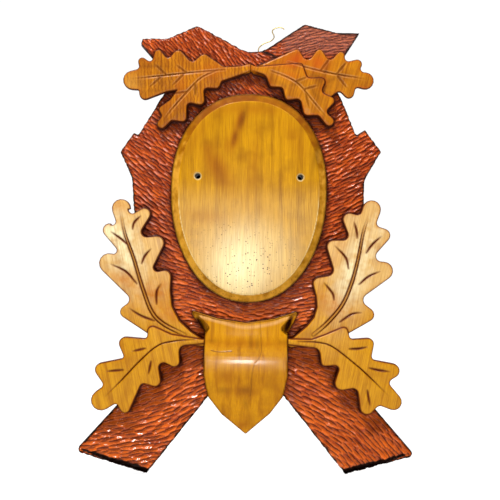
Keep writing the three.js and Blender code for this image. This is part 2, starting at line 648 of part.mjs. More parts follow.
function hangerStrap() {
  const axis = new THREE.Vector3(0, ringAxisHeight, eyeLevel);
  const end = ringAxisHeight - strapLength;
  const flat = solidOf(block(
    new THREE.Vector3(-strapWidth / 2, end, strapFace),
    new THREE.Vector3(strapWidth / 2, ringAxisHeight, strapFace + strapThickness),
  ));
  const barrel = (radius, length) => solidOf(new THREE.CylinderGeometry(radius, radius, length, roundSides)
    .rotateZ(Math.PI / 2)
    .translate(axis.x, axis.y, axis.z));
  const bored = flat.add(barrel(eyeRadius, strapWidth))
    .subtract(barrel(ringWire / 2 + seatGap, strapWidth + 2 * cutOverrun));
  const strap = strapScrewPlaces().reduce((left, [x, y]) => left.subtract(rod(
    x, y, strapScrewDiameter / 2 + screwClearance, strapFace - cutOverrun, pocketDepth + cutOverrun,
  )), bored);
  addPiece('hanger_strap', strap, steel);
}

// A ring with straight sides and a round foot, hanging down as close to the strap as it can
function hangingRing() {
  const halfWidth = (ringInnerWidth + ringWire) / 2;
  const drop = ringInnerLength + ringWire;
  const swing = Math.asin((eyeLevel - (strapFace - seatGap - ringWire / 2)) / drop);
  const side = drop - halfWidth;
  const foot = [1, 2, 3, 4, 5].map((k) => {
    const angle = Math.PI * (1 + k / 6);
    return new THREE.Vector3(halfWidth * Math.cos(angle), halfWidth * Math.sin(angle) - side, 0);
  });
  const down = [0, side / 2, side].map((below) => new THREE.Vector3(-halfWidth, -below, 0));
  const up = [side, side / 2, 0].map((below) => new THREE.Vector3(halfWidth, -below, 0));
  const bow = swept(polygon(wireSides, ringWire / 2), [...down, ...foot, ...up], ringSteps);
  const bar = new THREE.CylinderGeometry(ringWire / 2, ringWire / 2, 2 * halfWidth + ringWire, wireSides);
  const ring = bow
    .add(solidOf(bar.rotateZ(Math.PI / 2)))
    .rotate([THREE.MathUtils.radToDeg(swing), 0, 0])
    .translate([0, ringAxisHeight, eyeLevel]);
  addPiece('hanging_ring', ring, steel);
}

function hangerScrews() {
  strapScrewPlaces().forEach(([x, y], i) => {
    const head = strapScrewHead / 2;
    const shank = strapScrewDiameter / 2;
    const top = strapFace - seatGap;
    const tip = strapFace + strapScrewLength;
    const profile = [
      [0, top - strapScrewHeadHeight], [head * screwCrownShare, top - strapScrewHeadHeight],
      [head, top - strapScrewHeadHeight / 2], [head, top], [shank, top], [shank, tip - shank], [0, tip],
    ];
    addPiece(`hanger_screw_${i + 1}`, turned(profile, x, y), steel);
  });
}

// The wire's free tail: from the lower strap screw, up the pocket and out along the right log
const hangingWireRoute = [
  [3.3, 150, 3.1], [6.2, 150, 3.1], [9.1, 150.8, 3.1], [11.2, 153.4, 3.2], [12, 157.6, 3.3], [12.1, 166, 3.4],
  [12.1, 175, 3.4], [12.1, 184, 3.4], [11.6, 190.6, 3.4], [10.1, 197, 3.6], [10.5, 202, 4], [13.5, 205.8, 4.6],
  [18, 208.8, 5.2], [23, 210.6, 5.8], [27.6, 212.6, 6.4], [30.6, 216, 7], [30.4, 219.6, 7.6],
  [28.6, 222.6, 8.2], [28.8, 225.8, 8.8], [31.8, 228.2, 9.4], [36, 229.4, 10], [40.4, 229.2, 10.5],
  [44.2, 227, 11],
];

function hangingWireTail() {
  const points = hangingWireRoute.map(([x, y, z]) => new THREE.Vector3(x, y, z));
  addPiece('hanging_wire', swept(polygon(wireSides, hangingWire / 2), points, hangingWireSteps), brass);
}

placeScrews();
backBoard();
ovalPanel();
leafSprays();
crestShield();
screws();
hangerStrap();
hangingRing();
hangerScrews();
hangingWireTail();

// Stand the plaque up
plaque.rotation.x = Math.PI / 2;

export default plaque;
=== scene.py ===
# %% [markdown]
# # An antler mounting plaque
# This is a carved wooden wall plaque for a pair of antlers. Two crossed logs, stained red-brown and gouged
# all over, carry a bare honey-coloured oval, four sprays of oak leaves and an amber shield. The packed
# solids give every size and place. This script carves the gouge cuts, bevels and leaf veins into copies of
# them, and the materials add the grain, the saw marks and the pores.

# %% Load the solids
import bpy
import math
import numpy as np
from mathutils import Matrix, Vector, noise
from mathutils.bvhtree import BVHTree


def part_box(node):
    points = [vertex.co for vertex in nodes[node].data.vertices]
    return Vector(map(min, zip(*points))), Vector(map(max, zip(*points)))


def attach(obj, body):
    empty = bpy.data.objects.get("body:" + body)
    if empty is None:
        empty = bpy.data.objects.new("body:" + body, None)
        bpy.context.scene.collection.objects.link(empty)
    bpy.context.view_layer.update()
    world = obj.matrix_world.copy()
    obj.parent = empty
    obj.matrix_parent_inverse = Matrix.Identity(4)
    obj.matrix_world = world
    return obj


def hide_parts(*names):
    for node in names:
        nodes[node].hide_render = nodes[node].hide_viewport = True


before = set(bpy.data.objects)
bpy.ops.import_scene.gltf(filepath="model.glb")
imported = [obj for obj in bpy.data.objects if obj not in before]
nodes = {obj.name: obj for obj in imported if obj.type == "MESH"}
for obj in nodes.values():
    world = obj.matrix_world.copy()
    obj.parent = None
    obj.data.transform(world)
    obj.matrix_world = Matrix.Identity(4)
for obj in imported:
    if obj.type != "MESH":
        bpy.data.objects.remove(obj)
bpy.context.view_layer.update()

# %% Place and select objects
MM = 0.001


def placed(name, data):
    made = bpy.data.objects.new(name, data)
    bpy.context.scene.collection.objects.link(made)
    return made


def select_only(piece):
    bpy.ops.object.select_all(action="DESELECT")
    piece.select_set(True)
    bpy.context.view_layer.objects.active = piece


# %% [markdown]
# ## The camera
# The photograph looks square on at the plaque from about a metre and a half, and the plaque leans a little
# to the right in it. So the camera looks along +Y and is rolled the other way by that lean. One pixel of the
# photograph covers 1.3266 mm at the front of the logs, which sets the lens.

# %% Camera
PHOTO_PIXELS = 500
PIXEL = 1.3266 * MM
LEAN = math.radians(0.79)
CAMERA_REACH = 1.5
ORIGIN_PIXEL = (248.8, 198.6)
SENSOR = 36
board_low, board_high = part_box("back_board")
board_front = board_low.y

camera_data = bpy.data.cameras.new("camera")
camera = placed("camera", camera_data)
right_of_origin = (PHOTO_PIXELS / 2 - ORIGIN_PIXEL[0]) * PIXEL
above_origin = (ORIGIN_PIXEL[1] - PHOTO_PIXELS / 2) * PIXEL
right = Vector((math.cos(LEAN), 0, math.sin(LEAN)))
up = Vector((-math.sin(LEAN), 0, math.cos(LEAN)))
back = Vector((0, -1, 0))
place = right * right_of_origin + up * above_origin + back * (CAMERA_REACH - board_front)
camera.matrix_world = Matrix.Translation(place) @ Matrix((right, up, back)).transposed().to_4x4()
camera_data.sensor_width = SENSOR
camera_data.lens = SENSOR * CAMERA_REACH / (PHOTO_PIXELS * PIXEL)
bpy.context.scene.camera = camera
print("camera at", [round(v, 3) for v in place], "lens", round(camera_data.lens, 1), "mm")

# %% [markdown]
# ## The end of the hanging wire
# A thin brass-coloured wire is fixed at the hanger's lower screw behind the board. Its free end comes out
# over the dip between the logs and curls along the right log. It is a curve with a round section, turned
# into a mesh.

# %% Hanging wire
WIRE_RADIUS = 0.8 * MM
WIRE_ROUTE_MM = [
    (3.3, 150, 3.1), (6.2, 150, 3.1), (9.1, 150.8, 3.1), (11.2, 153.4, 3.2), (12, 157.6, 3.3),
    (12.1, 166, 3.4), (12.1, 175, 3.4), (12.1, 184, 3.4), (11.6, 190.6, 3.4), (10.1, 197, 3.6),
    (10.5, 202, 4), (13.5, 205.8, 4.6), (18, 208.8, 5.2), (23, 210.6, 5.8), (27.6, 212.6, 6.4),
    (30.6, 216, 7), (30.4, 219.6, 7.6), (28.6, 222.6, 8.2), (28.8, 225.8, 8.8), (31.8, 228.2, 9.4),
    (36, 229.4, 10), (40.4, 229.2, 10.5), (44.2, 227, 11),
]
wire_points = [Vector((x * MM, -toward * MM, height * MM)) for x, height, toward in WIRE_ROUTE_MM]


def smooth_line(points, steps):
    """Points on a smooth line through all of the given ones, as a hand bends a wire."""
    padded = [2 * points[0] - points[1], *points, 2 * points[-1] - points[-2]]
    line = []
    for a, b, c, d in zip(padded, padded[1:], padded[2:], padded[3:]):
        for k in range(steps):
            t = k / steps
            line.append(0.5 * (2 * b + (c - a) * t + (2 * a - 5 * b + 4 * c - d) * t**2
                               + (3 * b - a - 3 * c + d) * t**3))
    return [*line, points[-1].copy()]


def line_length(points):
    return sum((b - a).length for a, b in zip(points, points[1:]))


def round_bar(name, points, radius):
    curve = bpy.data.curves.new(name, "CURVE")
    curve.dimensions = "3D"
    curve.bevel_depth = radius
    curve.bevel_resolution = 3
    curve.use_fill_caps = True
    spline = curve.splines.new("POLY")
    spline.points.add(len(points) - 1)
    for point, target in zip(spline.points, points):
        point.co = (*target, 1)
    piece = placed(name, curve)
    select_only(piece)
    bpy.ops.object.convert(target="MESH")
    return bpy.context.object


wire_line = smooth_line(wire_points, 4)
wire_piece = round_bar("wire_tail", wire_line, WIRE_RADIUS)
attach(wire_piece, "plaque")
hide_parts("hanging_wire")
print("wire", round(line_length(wire_line) / MM), "mm long")

# %% [markdown]
# ## Colours and shader nodes
# Colours are sRGB hex values, and one function turns them to the linear values that a shader reads. One more
# adds a shader node with its settings and links, one lays coats of colour over each other, as stain and
# glaze are laid over wood, and one ends a material with its surface.

# %% Colours and nodes


def linear(hex_colour):
    """An sRGB hex colour as linear red, green, blue and alpha."""
    shares = [int(hex_colour[k:k + 2], 16) / 255 for k in (1, 3, 5)]
    return (*[s / 12.92 if s <= 0.04045 else ((s + 0.055) / 1.055) ** 2.4 for s in shares], 1)


def add(tree, kind, inputs=None, stops=(), out=0, **settings):
    """Adds a node and returns one of its sockets.

    inputs are numbers, sockets, hex colours or names of values that a piece keeps for its points, and
    stops are the colours of a ramp.
    """
    made = tree.nodes.new("ShaderNode" + kind)
    for name, value in settings.items():
        setattr(made, name, value)
    for key, value in (inputs or {}).items():
        if isinstance(value, str) and value.startswith("#"):
            value = linear(value)
        elif isinstance(value, str):
            value = add(tree, "Attribute", out="Fac", attribute_name=value)
        if isinstance(value, bpy.types.NodeSocket):
            tree.links.new(value, made.inputs[key])
        else:
            made.inputs[key].default_value = value
    for k, (position, colour) in enumerate(stops):
        element = made.color_ramp.elements[k] if k < 2 else made.color_ramp.elements.new(position)
        element.position = position
        element.color = linear(colour)
    return made.outputs[out] if made.outputs else None


def coated(tree, colour, *coats):
    """Lays coats over a colour. Each is how much of it there is, and its own colour."""
    for share, coat in coats:
        colour = add(tree, "Mix", {0: share, 6: colour, 7: coat}, out=2, data_type="RGBA")
    return colour


def new_material(name):
    material = bpy.data.materials.new(name)
    material.use_nodes = True
    material.node_tree.nodes.clear()
    return material, material.node_tree


def surfaced(material, inputs):
    """Ends a material with its surface, and returns it."""
    shader = add(material.node_tree, "BsdfPrincipled", inputs)
    add(material.node_tree, "OutputMaterial", {"Surface": shader})
    return material


def give(piece, material):
    piece.data.materials.clear()
    piece.data.materials.append(material)


# %% [markdown]
# ## From a plain solid to a carved one
# A CAD node is never changed. Its mesh is copied, the copy's doubled points are merged, and a voxel remesh
# gives it an even net of faces, small enough to carve. A little smoothing takes the machine look off the
# edges. After the carving, a Decimate modifier thins the faces, first of all where they lie flat, such as on
# the back.

# %% Copies and remeshing


def with_modifier(piece, kind, **settings):
    select_only(piece)
    modifier = piece.modifiers.new(kind, kind)
    for name, value in settings.items():
        setattr(modifier, name, value)
    bpy.ops.object.modifier_apply(modifier=modifier.name)


def vectors_of(piece, kind):
    """The places (co) or the normals (normal) of a piece's points."""
    flat = np.zeros(len(piece.data.vertices) * 3)
    piece.data.vertices.foreach_get(kind, flat)
    return flat.reshape(-1, 3)


def remeshed(node, name, voxel, smoothing=0):
    """A merged copy of a CAD node with an even net of small faces, its points' places and their normals."""
    piece = placed(name, nodes[node].data.copy())
    select_only(piece)
    bpy.ops.object.mode_set(mode="EDIT")
    bpy.ops.mesh.select_all(action="SELECT")
    bpy.ops.mesh.remove_doubles(threshold=0.001 * MM)
    bpy.ops.object.mode_set(mode="OBJECT")
    with_modifier(piece, "REMESH", mode="VOXEL", voxel_size=voxel, adaptivity=0)
    if smoothing:
        with_modifier(piece, "SMOOTH", factor=0.5, iterations=smoothing)
    print(name, "has", len(piece.data.polygons), "faces to carve")
    return piece, vectors_of(piece, "co"), vectors_of(piece, "normal")


def set_points(piece, points):
    piece.data.vertices.foreach_set("co", points.ravel())
    piece.data.update()


def set_shades(piece, **shades):
    """Keeps values from 0 to 1 for each point, which the material reads by their names."""
    for name, values in shades.items():
        attribute = piece.data.attributes.new(name, "FLOAT", "POINT")
        attribute.data.foreach_set("value", np.clip(values, 0, 1).astype(np.float32))


def finished(piece, slot, most_triangles, *replaced):
    """Thins the flat parts, smooths the shading and puts the piece on its body."""
    ratio = min(1, most_triangles / (2 * len(piece.data.polygons)))
    with_modifier(piece, "DECIMATE", decimate_type="COLLAPSE", ratio=ratio, use_collapse_triangulate=True)
    bpy.ops.object.shade_smooth_by_angle(angle=math.radians(60))
    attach(piece, "plaque")
    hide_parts(*replaced)
    print(piece.name, "ends with", len(piece.data.polygons), "triangles")


def ramp(values, low, high):
    """A smooth ramp from 0 at low to 1 at high."""
    t = np.clip((values - low) / (high - low), 0, 1)
    return t * t * (3 - 2 * t)


# %% [markdown]
# ## Distances and noise
# Shade is painted into the corners along other pieces, and the edges are darkened, so each point needs its
# distance from other pieces and from its own piece's side walls. Slow waves of noise keep the surfaces
# from looking machined.

# %% Search trees and noise
STEEP = 0.5


def search_tree(names, walls_only=False):
    """A tree of the nodes' triangles, or of only those that stand up from the back."""
    vertices, faces = [], []
    for name in names:
        first = len(vertices)
        mesh = nodes[name].data
        vertices += [v.co.copy() for v in mesh.vertices]
        faces += [[first + index for index in polygon.vertices] for polygon in mesh.polygons
                  if not walls_only or abs(polygon.normal.y) < STEEP]
    return BVHTree.FromPolygons(vertices, faces)


def distance_from(tree, points, chosen, reach):
    """How far each chosen point is from a tree's triangles, up to a reach. The others get the reach."""
    away = np.full(len(points), reach)
    for index in np.flatnonzero(chosen):
        found = tree.find_nearest(Vector(points[index]), reach)[3]
        if found is not None:
            away[index] = found
    return away


def wall_distance(node, points, chosen, reach):
    """How far each chosen point is from the node's own side walls, up to a reach."""
    return distance_from(search_tree([node], walls_only=True), points, chosen, reach)


def soft_noise(points, scale, seed=0.0, detail=3):
    """Smooth noise at each point, from about -1 to 1, with features of the given size in metres."""
    offset = Vector((seed, seed * 1.7, -seed))
    return np.array([noise.fractal(Vector(point) / scale + offset, 0.6, 2.0, detail) for point in points])


def blots(points, places):
    """Soft spots, each given as x, height, half-length, half-width (mm), slope (degrees) and strength."""
    total = np.zeros(len(points))
    for x, z, half_length, half_width, slope, strength in places:
        turn = math.radians(slope)
        dx, dz = points[:, 0] - x * MM, points[:, 2] - z * MM
        along = (dx * math.cos(turn) + dz * math.sin(turn)) / (half_length * MM)
        across = (dz * math.cos(turn) - dx * math.sin(turn)) / (half_width * MM)
        total = np.maximum(total, strength * np.exp(-(along**2 + across**2)))
    return total


# %% [markdown]
# ## Relief maps
# Gouges leave marks by the thousand, so the marks are drawn on maps of the plaque's face first: grids of
# values, 0.6 mm apart. Each mark is a lens-shaped hollow that falls steeply from its upper side and rises
# slowly to its lower lip, so that rows of marks lie over each other like shingles. Where two marks overlap,
# the deeper one is left. The steep upper sides and the deep middles are painted dark, as glaze and as the
# shade that falls there, the lips are painted pale, part wear and part highlight, and each mark has its
# own tone.

# %% Relief maps
MAP_STEP = 0.6 * MM
MAP_MARGIN = 0.02
MAP_LOW = np.array([board_low.x - MAP_MARGIN, board_low.z - MAP_MARGIN])
MAP_HIGH = np.array([board_high.x + MAP_MARGIN, board_high.z + MAP_MARGIN])
MAP_SIZE = np.ceil((MAP_HIGH - MAP_LOW) / MAP_STEP).astype(int)
DEEPEST = 0.3
GLAZED_AND_SHADED_WALL = (0.66, 0.3)
rng = np.random.default_rng(7)
depth_map = np.zeros(MAP_SIZE)
glaze_map = np.zeros(MAP_SIZE)
tone_map = np.full(MAP_SIZE, 0.5)
crest_map = np.zeros(MAP_SIZE)


def cut_mark(x, z, angle, half_length, half_width, depth, tone, bend):
    """Stamps one push of the gouge, a little bent, on all four maps."""
    middle = (np.array([x, z]) - MAP_LOW) / MAP_STEP
    low = np.maximum(np.floor(middle - half_length / MAP_STEP).astype(int), 0)
    high = np.minimum(np.ceil(middle + half_length / MAP_STEP).astype(int) + 1, MAP_SIZE)
    if np.any(low >= high):
        return
    cells = (slice(low[0], high[0]), slice(low[1], high[1]))
    columns, rows = np.meshgrid(np.arange(low[0], high[0]), np.arange(low[1], high[1]), indexing="ij")
    dx, dz = (columns - middle[0]) * MAP_STEP, (rows - middle[1]) * MAP_STEP
    along = (dx * math.cos(angle) + dz * math.sin(angle)) / half_length
    across = (dz * math.cos(angle) - dx * math.sin(angle)) / half_width + bend * (along**2 - 0.4)
    ends = np.clip(1 - along**2, 1e-6, 1) ** 0.5
    across = across / ends**0.6
    side = np.where(across > DEEPEST, (across - DEEPEST) / (1 - DEEPEST), (DEEPEST - across) / (1 + DEEPEST))
    hollow = np.clip(1 - side**2, 0, 1) * ends
    wins = depth * hollow > depth_map[cells]
    depth_map[cells][wins] = (depth * hollow)[wins]
    # Painted shade: the steep upper wall and the deep middle of each mark, as glaze and as shade.
    glazed = np.exp(-(((across - GLAZED_AND_SHADED_WALL[0]) / GLAZED_AND_SHADED_WALL[1]) ** 2))
    glaze_map[cells][wins] = np.maximum(glazed, 0.3 * hollow**2)[wins]
    tone_map[cells][wins] = tone
    # Painted highlight: the lower lip is made pale, part wear and part the glints it catches.
    crest_map[cells][wins] = (np.clip((-0.2 - across) / 0.5, 0, 1) * ends)[wins]


def read_map(values, points):
    """The map's value at each point, between its cells."""
    place = (points[:, [0, 2]] - MAP_LOW) / MAP_STEP
    low = np.clip(np.floor(place).astype(int), 0, MAP_SIZE - 2)
    part = np.clip(place - low, 0, 1)
    a, b = low[:, 0], low[:, 1]
    s, t = part[:, 0], part[:, 1]
    return ((1 - s) * (1 - t) * values[a, b] + s * (1 - t) * values[a + 1, b]
            + (1 - s) * t * values[a, b + 1] + s * t * values[a + 1, b + 1])


print("relief maps of", MAP_SIZE[0], "by", MAP_SIZE[1], "cells")

# %% [markdown]
# ## Which way the carver worked
# The gouge cuts aren't laid at random. On the left of the oval they slope down to the right, on its right
# they slope up, under it they lie level, and on the right leg they fall away again. A few chosen places have
# their slopes, and everywhere else the slope is blended from the nearest of them.

# %% Direction of the cuts
CUT_SLOPES = [
    (-0.14, 0.21, -48), (-0.08, 0.205, -50), (-0.03, 0.19, -50), (0.0, 0.155, -48), (0.035, 0.15, -35),
    (0.06, 0.2, 24), (0.1, 0.21, 12), (0.14, 0.21, -4), (0.08, 0.13, -20), (-0.1, 0.15, -30),
    (-0.11, 0.12, -38), (-0.13, 0.05, -38), (-0.12, 0.0, -38), (-0.11, -0.05, -36), (-0.13, -0.05, -20),
    (-0.085, -0.1, -20), (-0.1, -0.13, 0), (-0.06, -0.14, -18), (-0.04, -0.155, -16), (0.12, 0.12, 36),
    (0.14, 0.05, 30), (0.13, 0.0, 26), (0.115, -0.04, 20), (0.1, -0.08, 12), (0.08, -0.13, 12),
    (0.1, -0.17, 20), (0.04, -0.155, 6), (-0.08, -0.24, 26), (-0.1, -0.22, 24), (-0.12, -0.28, 18),
    (-0.17, -0.33, 8), (-0.08, -0.27, 30), (-0.15, -0.35, 10), (0.08, -0.24, -24), (0.12, -0.28, -30),
    (0.16, -0.33, -46), (0.19, -0.34, -52), (0.1, -0.3, -30),
]
slope_places = np.array([(x, z) for x, z, _ in CUT_SLOPES])
slope_angles = np.radians([slope for _, _, slope in CUT_SLOPES])
SLOPE_REACH = 0.02


def cut_angle(x, z):
    weight = 1 / (((slope_places - (x, z)) ** 2).sum(1) + SLOPE_REACH**2) ** 2
    return float((weight * slope_angles).sum() / weight.sum())


# %% Scatter the cuts
CUT_SPACING = (9.8 * MM, 3.5 * MM)
TRIAL_STEP = 1.5 * MM
LEG_CUTS = 1.25


def cut_size(z):
    """The gouge was smallest on the logs' upper ends and biggest on the legs."""
    return float(np.interp(z, (-0.23, -0.16, 0.13, 0.19), (LEG_CUTS, 1, 1, 0.8)))


def scattered_places():
    """Places for cuts that keep clear of each other, further apart along the cut than across it."""
    columns, rows = (MAP_SIZE * MAP_STEP / TRIAL_STEP).astype(int)
    trials = [(MAP_LOW[0] + (i + rng.random()) * TRIAL_STEP, MAP_LOW[1] + (j + rng.random()) * TRIAL_STEP)
              for i in range(columns) for j in range(rows)]
    rng.shuffle(trials)
    cells = {}
    chosen = []
    cell = CUT_SPACING[0] * LEG_CUTS / 2
    for x, z in trials:
        angle = cut_angle(x, z)
        along, across = CUT_SPACING[0] * cut_size(z), CUT_SPACING[1] * cut_size(z)
        cosine, sine = math.cos(angle), math.sin(angle)
        column, row = int(x // cell), int(z // cell)
        near = [(px - x, pz - z) for i in range(column - 2, column + 3) for j in range(row - 2, row + 3)
                for px, pz in cells.get((i, j), ())]
        if all(((dx * cosine + dz * sine) / along) ** 2 + ((dz * cosine - dx * sine) / across) ** 2 > 1
               for dx, dz in near):
            cells.setdefault((column, row), []).append((x, z))
            chosen.append((x, z, angle))
    return chosen


cut_places = scattered_places()
print(len(cut_places), "gouge cuts")

# %% Stamp the cuts
CUT_HALF_LENGTH = 8.5 * MM
CUT_HALF_WIDTH = 2.9 * MM
CUT_DEPTH = 2.2 * MM
BARK_LOG = (0.035, 0.185)
BARK_CUTS = 0.7
SWING = math.radians(3.5)
LEGS_LIGHTENED = 0.8

for x, z, angle in cut_places:
    turn = angle + rng.normal(0, SWING)
    size = cut_size(z)
    bark_share = BARK_CUTS if x > BARK_LOG[0] and z > BARK_LOG[1] else 1
    # Painted light: cuts on the legs get a lighter tone, to make up for the weaker light that reaches them.
    tone = rng.random() + LEGS_LIGHTENED * float(np.interp(z, (-0.18, -0.06), (1, 0)))
    cut_mark(x, z, turn, CUT_HALF_LENGTH * size * rng.uniform(0.8, 1.2),
             CUT_HALF_WIDTH * size * bark_share * rng.uniform(0.85, 1.15),
             CUT_DEPTH * size**2.5 * bark_share * rng.uniform(0.7, 1.1), tone, rng.normal(0, 0.12))
print("deepest cut", round(depth_map.max() / MM, 2), "mm")

# %% Lines on the plaque


def distance_to_line(points, line):
    """Each point's distance to a line of places, and its nearest place's share of the line's length."""
    flat = points[:, [0, 2]]
    line = np.array(line)
    lengths = np.hypot(*(line[1:] - line[:-1]).T)
    best = np.full(len(flat), np.inf)
    share = np.zeros(len(flat))
    start = 0.0
    for a, b, length in zip(line, line[1:], lengths):
        t = np.clip(((flat - a) @ (b - a)) / length**2, 0, 1)
        away = np.hypot(*(flat - a - t[:, None] * (b - a)).T)
        closer = away < best
        best[closer] = away[closer]
        share[closer] = ((start + t * length) / lengths.sum())[closer]
        start += length
    return best, share


def smooth_places(places, steps=5):
    line = smooth_line([Vector((x, z, 0)) for x, z in places], steps)
    return [(p.x, p.y) for p in line]


# %% [markdown]
# ## The crossed logs
# The back board is one glued-up plank sawn to the outline of two crossed logs. The gouge cuts go all over
# its face but not under the pieces that are glued on. The sawn ends of the legs have a broad bevel that gets
# wider towards the middle and is painted nearly black.

# %% Carve the logs
BOARD_VOXEL = 1.0 * MM
SEAT_GAP = 0.3 * MM
CORNER_REACH = 30 * MM
WALL_REACH = 9 * MM
OPEN_FROM = (SEAT_GAP * 1.2, SEAT_GAP + 1.4 * MM)
RAGGED_WAVE = 7 * MM
BITE_WAVE = 6 * MM
EDGE_BITE = 1.6 * MM
LEG_ENDS = [[(-0.2176, -0.336), (-0.131, -0.3672)], [(0.2167, -0.336), (0.1332, -0.3648)]]
END_BEVEL = (1.5 * MM, 9 * MM)
BEVEL_SLOPE = 0.9
OVERLAYS = ["oval_panel", "crest_shield", "leaf_spray_upper_left", "leaf_spray_upper_right",
            "leaf_spray_lower_left", "leaf_spray_lower_right"]
logs, points, normals = remeshed("back_board", "crossed_logs", BOARD_VOXEL)
x, y, z = points.T
tilt = normals[:, 1]
front = tilt < -0.3
corner = distance_from(search_tree(OVERLAYS), points, front, CORNER_REACH)
wall = wall_distance("back_board", points, front, WALL_REACH)
open_wood = ramp(corner, *OPEN_FROM) * front
facing = ramp(-tilt, 0.3, 0.8)
ragged = np.zeros(len(points))
ragged[front] = soft_noise(points[front], RAGGED_WAVE, 3.0, 2)
depth = read_map(depth_map, points)
bevel = np.zeros(len(points))
for line in LEG_ENDS:
    away, share = distance_to_line(points, line)
    width = END_BEVEL[0] + (END_BEVEL[1] - END_BEVEL[0]) * share + ragged * 1.2 * MM
    bevel = np.maximum(bevel, np.clip(1 - away / width, 0, 1) * width * BEVEL_SLOPE)
carved = (depth * ramp(wall, 0, 1.5 * MM) + bevel) * open_wood * facing
bitten = np.clip(0.35 + soft_noise(points, BITE_WAVE, 3.0, 2), 0, 1) * EDGE_BITE
bitten *= np.clip(y / board_front, 0, 1)
bitten *= 1 - ramp(np.abs(tilt), 0.4, 0.9)
points -= normals * bitten[:, None] * (1, 0, 1)
y += carved
flat_back = (tilt > 0.9) & (np.abs(y) < BOARD_VOXEL / 2)
y[flat_back] = 0
covered = front & (open_wood == 0) & (np.abs(y - board_front) < BOARD_VOXEL / 2)
y[covered] = board_front
set_points(logs, points)
print("carved points:", int((carved > 0).sum()))

# %% [markdown]
# ## Where the logs are dark, pale and glossy
# Glaze and painted shade fill the cuts, and a painted shadow lines the corners along the glued-on pieces.
# The sawn edges are burnt, in a wider and more ragged line on the legs. The right log's upper end looks
# weathered, and the varnish is duller there and along the board's right side.

# %% Shades of the logs
CORNER_SHADOW_REACH = 2.6 * MM
LEGS_START = (0.2, 0.25)
BARK_FADE = 0.015
DULL_FROM = ((0.05, 0.12), (-0.16, -0.06))
FULL_GLOSS = 0.55
# Painted shade and glaze in the cuts, read from the relief map.
glaze = np.clip(read_map(glaze_map, points), 0, 1) * open_wood
glaze_reach = CORNER_SHADOW_REACH * (1 + 0.8 * np.clip(ragged, -0.6, 1))
# Painted shadow: a dark band on the logs along the glued-on pieces, kept as corner.
shadowed = np.exp(-(((corner - SEAT_GAP) / glaze_reach) ** 2)) * front
on_legs = ramp(-z, *LEGS_START)
sawn = 1 - ramp(np.abs(tilt), 0.35, 0.9)
along_edge = ramp(wall + ragged * (1.8 + 1.6 * on_legs) * MM, 0.8 * MM, (3.2 + on_legs) * MM)
burnt = np.maximum(np.maximum(sawn, bevel / (1.2 * MM)), 1 - along_edge)
bark_side = x - BARK_LOG[0] - 0.15 * (BARK_LOG[1] + 0.02 - z)
bark = ramp(bark_side, 0, BARK_FADE) * ramp(z, BARK_LOG[1], BARK_LOG[1] + BARK_FADE)
dull_side = ramp(x, *DULL_FROM[0]) * ramp(z, *DULL_FROM[1])
gloss = FULL_GLOSS - 0.3 * np.maximum(bark, 1.3 * dull_side)
gloss = gloss * (1 - glaze) * (1 - shadowed) * np.clip(1 - burnt, 0.1, 1) * front
# crest is the cuts' pale lips, part wear and part painted highlight.
set_shades(logs, glaze=glaze, tone=read_map(tone_map, points) / 1.4, burnt=burnt, gloss=gloss, bark=bark,
           crest=read_map(crest_map, points) * open_wood, corner=shadowed, behind=tilt > 0.5)
print("burnt points:", int((burnt > 0.5).sum()))

# %% [markdown]
# ## Stain and gloss varnish over softwood
# Red-brown stain soaks unevenly into softwood, so each cut has its own tone between red-brown and orange,
# and the legs' cuts are painted lighter, to make up for the weaker light there. The cuts' upper walls are
# painted black-brown, as glaze and as the shade that falls there, and a painted shadow lines the pieces
# glued on. Their lips are painted pale, part wear and part highlight, and gloss varnish over it all gives
# thin bright glints. The sawn edges are nearly black, and the back is bare wood with a long grain.

# %% Logs material
WOOD_SPECULAR = 0.06


def stained_logs_material():
    material, tree = new_material("red-brown stain and gloss varnish on softwood")
    coords = add(tree, "TexCoord", out="Object")
    patches = add(tree, "TexNoise", {"Vector": coords, "Scale": 1 / (26 * MM), "Detail": 4})
    fine = add(tree, "TexNoise", {"Vector": coords, "Scale": 1 / (1.8 * MM), "Detail": 4})
    tones = add(tree, "Math", {0: "tone", 1: patches}, operation="ADD")
    half_tones = add(tree, "Math", {0: tones, 1: 0.5}, operation="MULTIPLY")
    stain = add(tree, "ValToRGB", {"Fac": half_tones},
                [(0.2, "#6c1a02"), (0.8, "#e6660e"), (0.45, "#9a3002")])
    speck = add(tree, "ValToRGB", {"Fac": fine}, [(0.35, "#501202"), (0.7, "#c85c18")])
    dusty = coated(tree, "#7c4a42", (0.3, speck))
    # Pale lips of the cuts: part wear and part painted highlight.
    pale_crest = add(tree, "Math", {0: "crest", 1: 0.42}, operation="MULTIPLY")
    # glaze is glaze and painted shade in the cuts, corner a painted shadow along the glued-on pieces.
    wood = coated(tree, stain, (0.3, speck), ("bark", dusty), (pale_crest, "#e07c40"), ("glaze", "#230601"),
                  ("corner", "#2a0902"), ("burnt", "#1d0d08"))
    drawn = add(tree, "Mapping", {"Vector": coords, "Scale": (1, 1, 0.03)})
    grain = add(tree, "TexNoise", {"Vector": drawn, "Scale": 1 / (4 * MM), "Detail": 5, "Roughness": 0.65})
    bare = add(tree, "ValToRGB", {"Fac": grain}, [(0.36, "#96703f"), (0.62, "#cbab7c")])
    aged = add(tree, "ValToRGB", {"Fac": patches}, [(0.35, "#a07c4e"), (0.65, "#c9a878")])
    bump = {"Height": fine, "Distance": 0.6 * MM}
    return surfaced(material, {
        "Base Color": coated(tree, wood, ("behind", coated(tree, bare, (0.3, aged)))),
        "Roughness": add(tree, "MapRange", {"Value": fine, "To Min": 0.4, "To Max": 0.6}),
        "Normal": add(tree, "Bump", {**bump, "Strength": 0.6}),
        "Coat Normal": add(tree, "Bump", {**bump, "Strength": 0.25}),
        "Coat Weight": "gloss",
        "Coat Roughness": 0.14,
        "Specular IOR Level": WOOD_SPECULAR,
    })


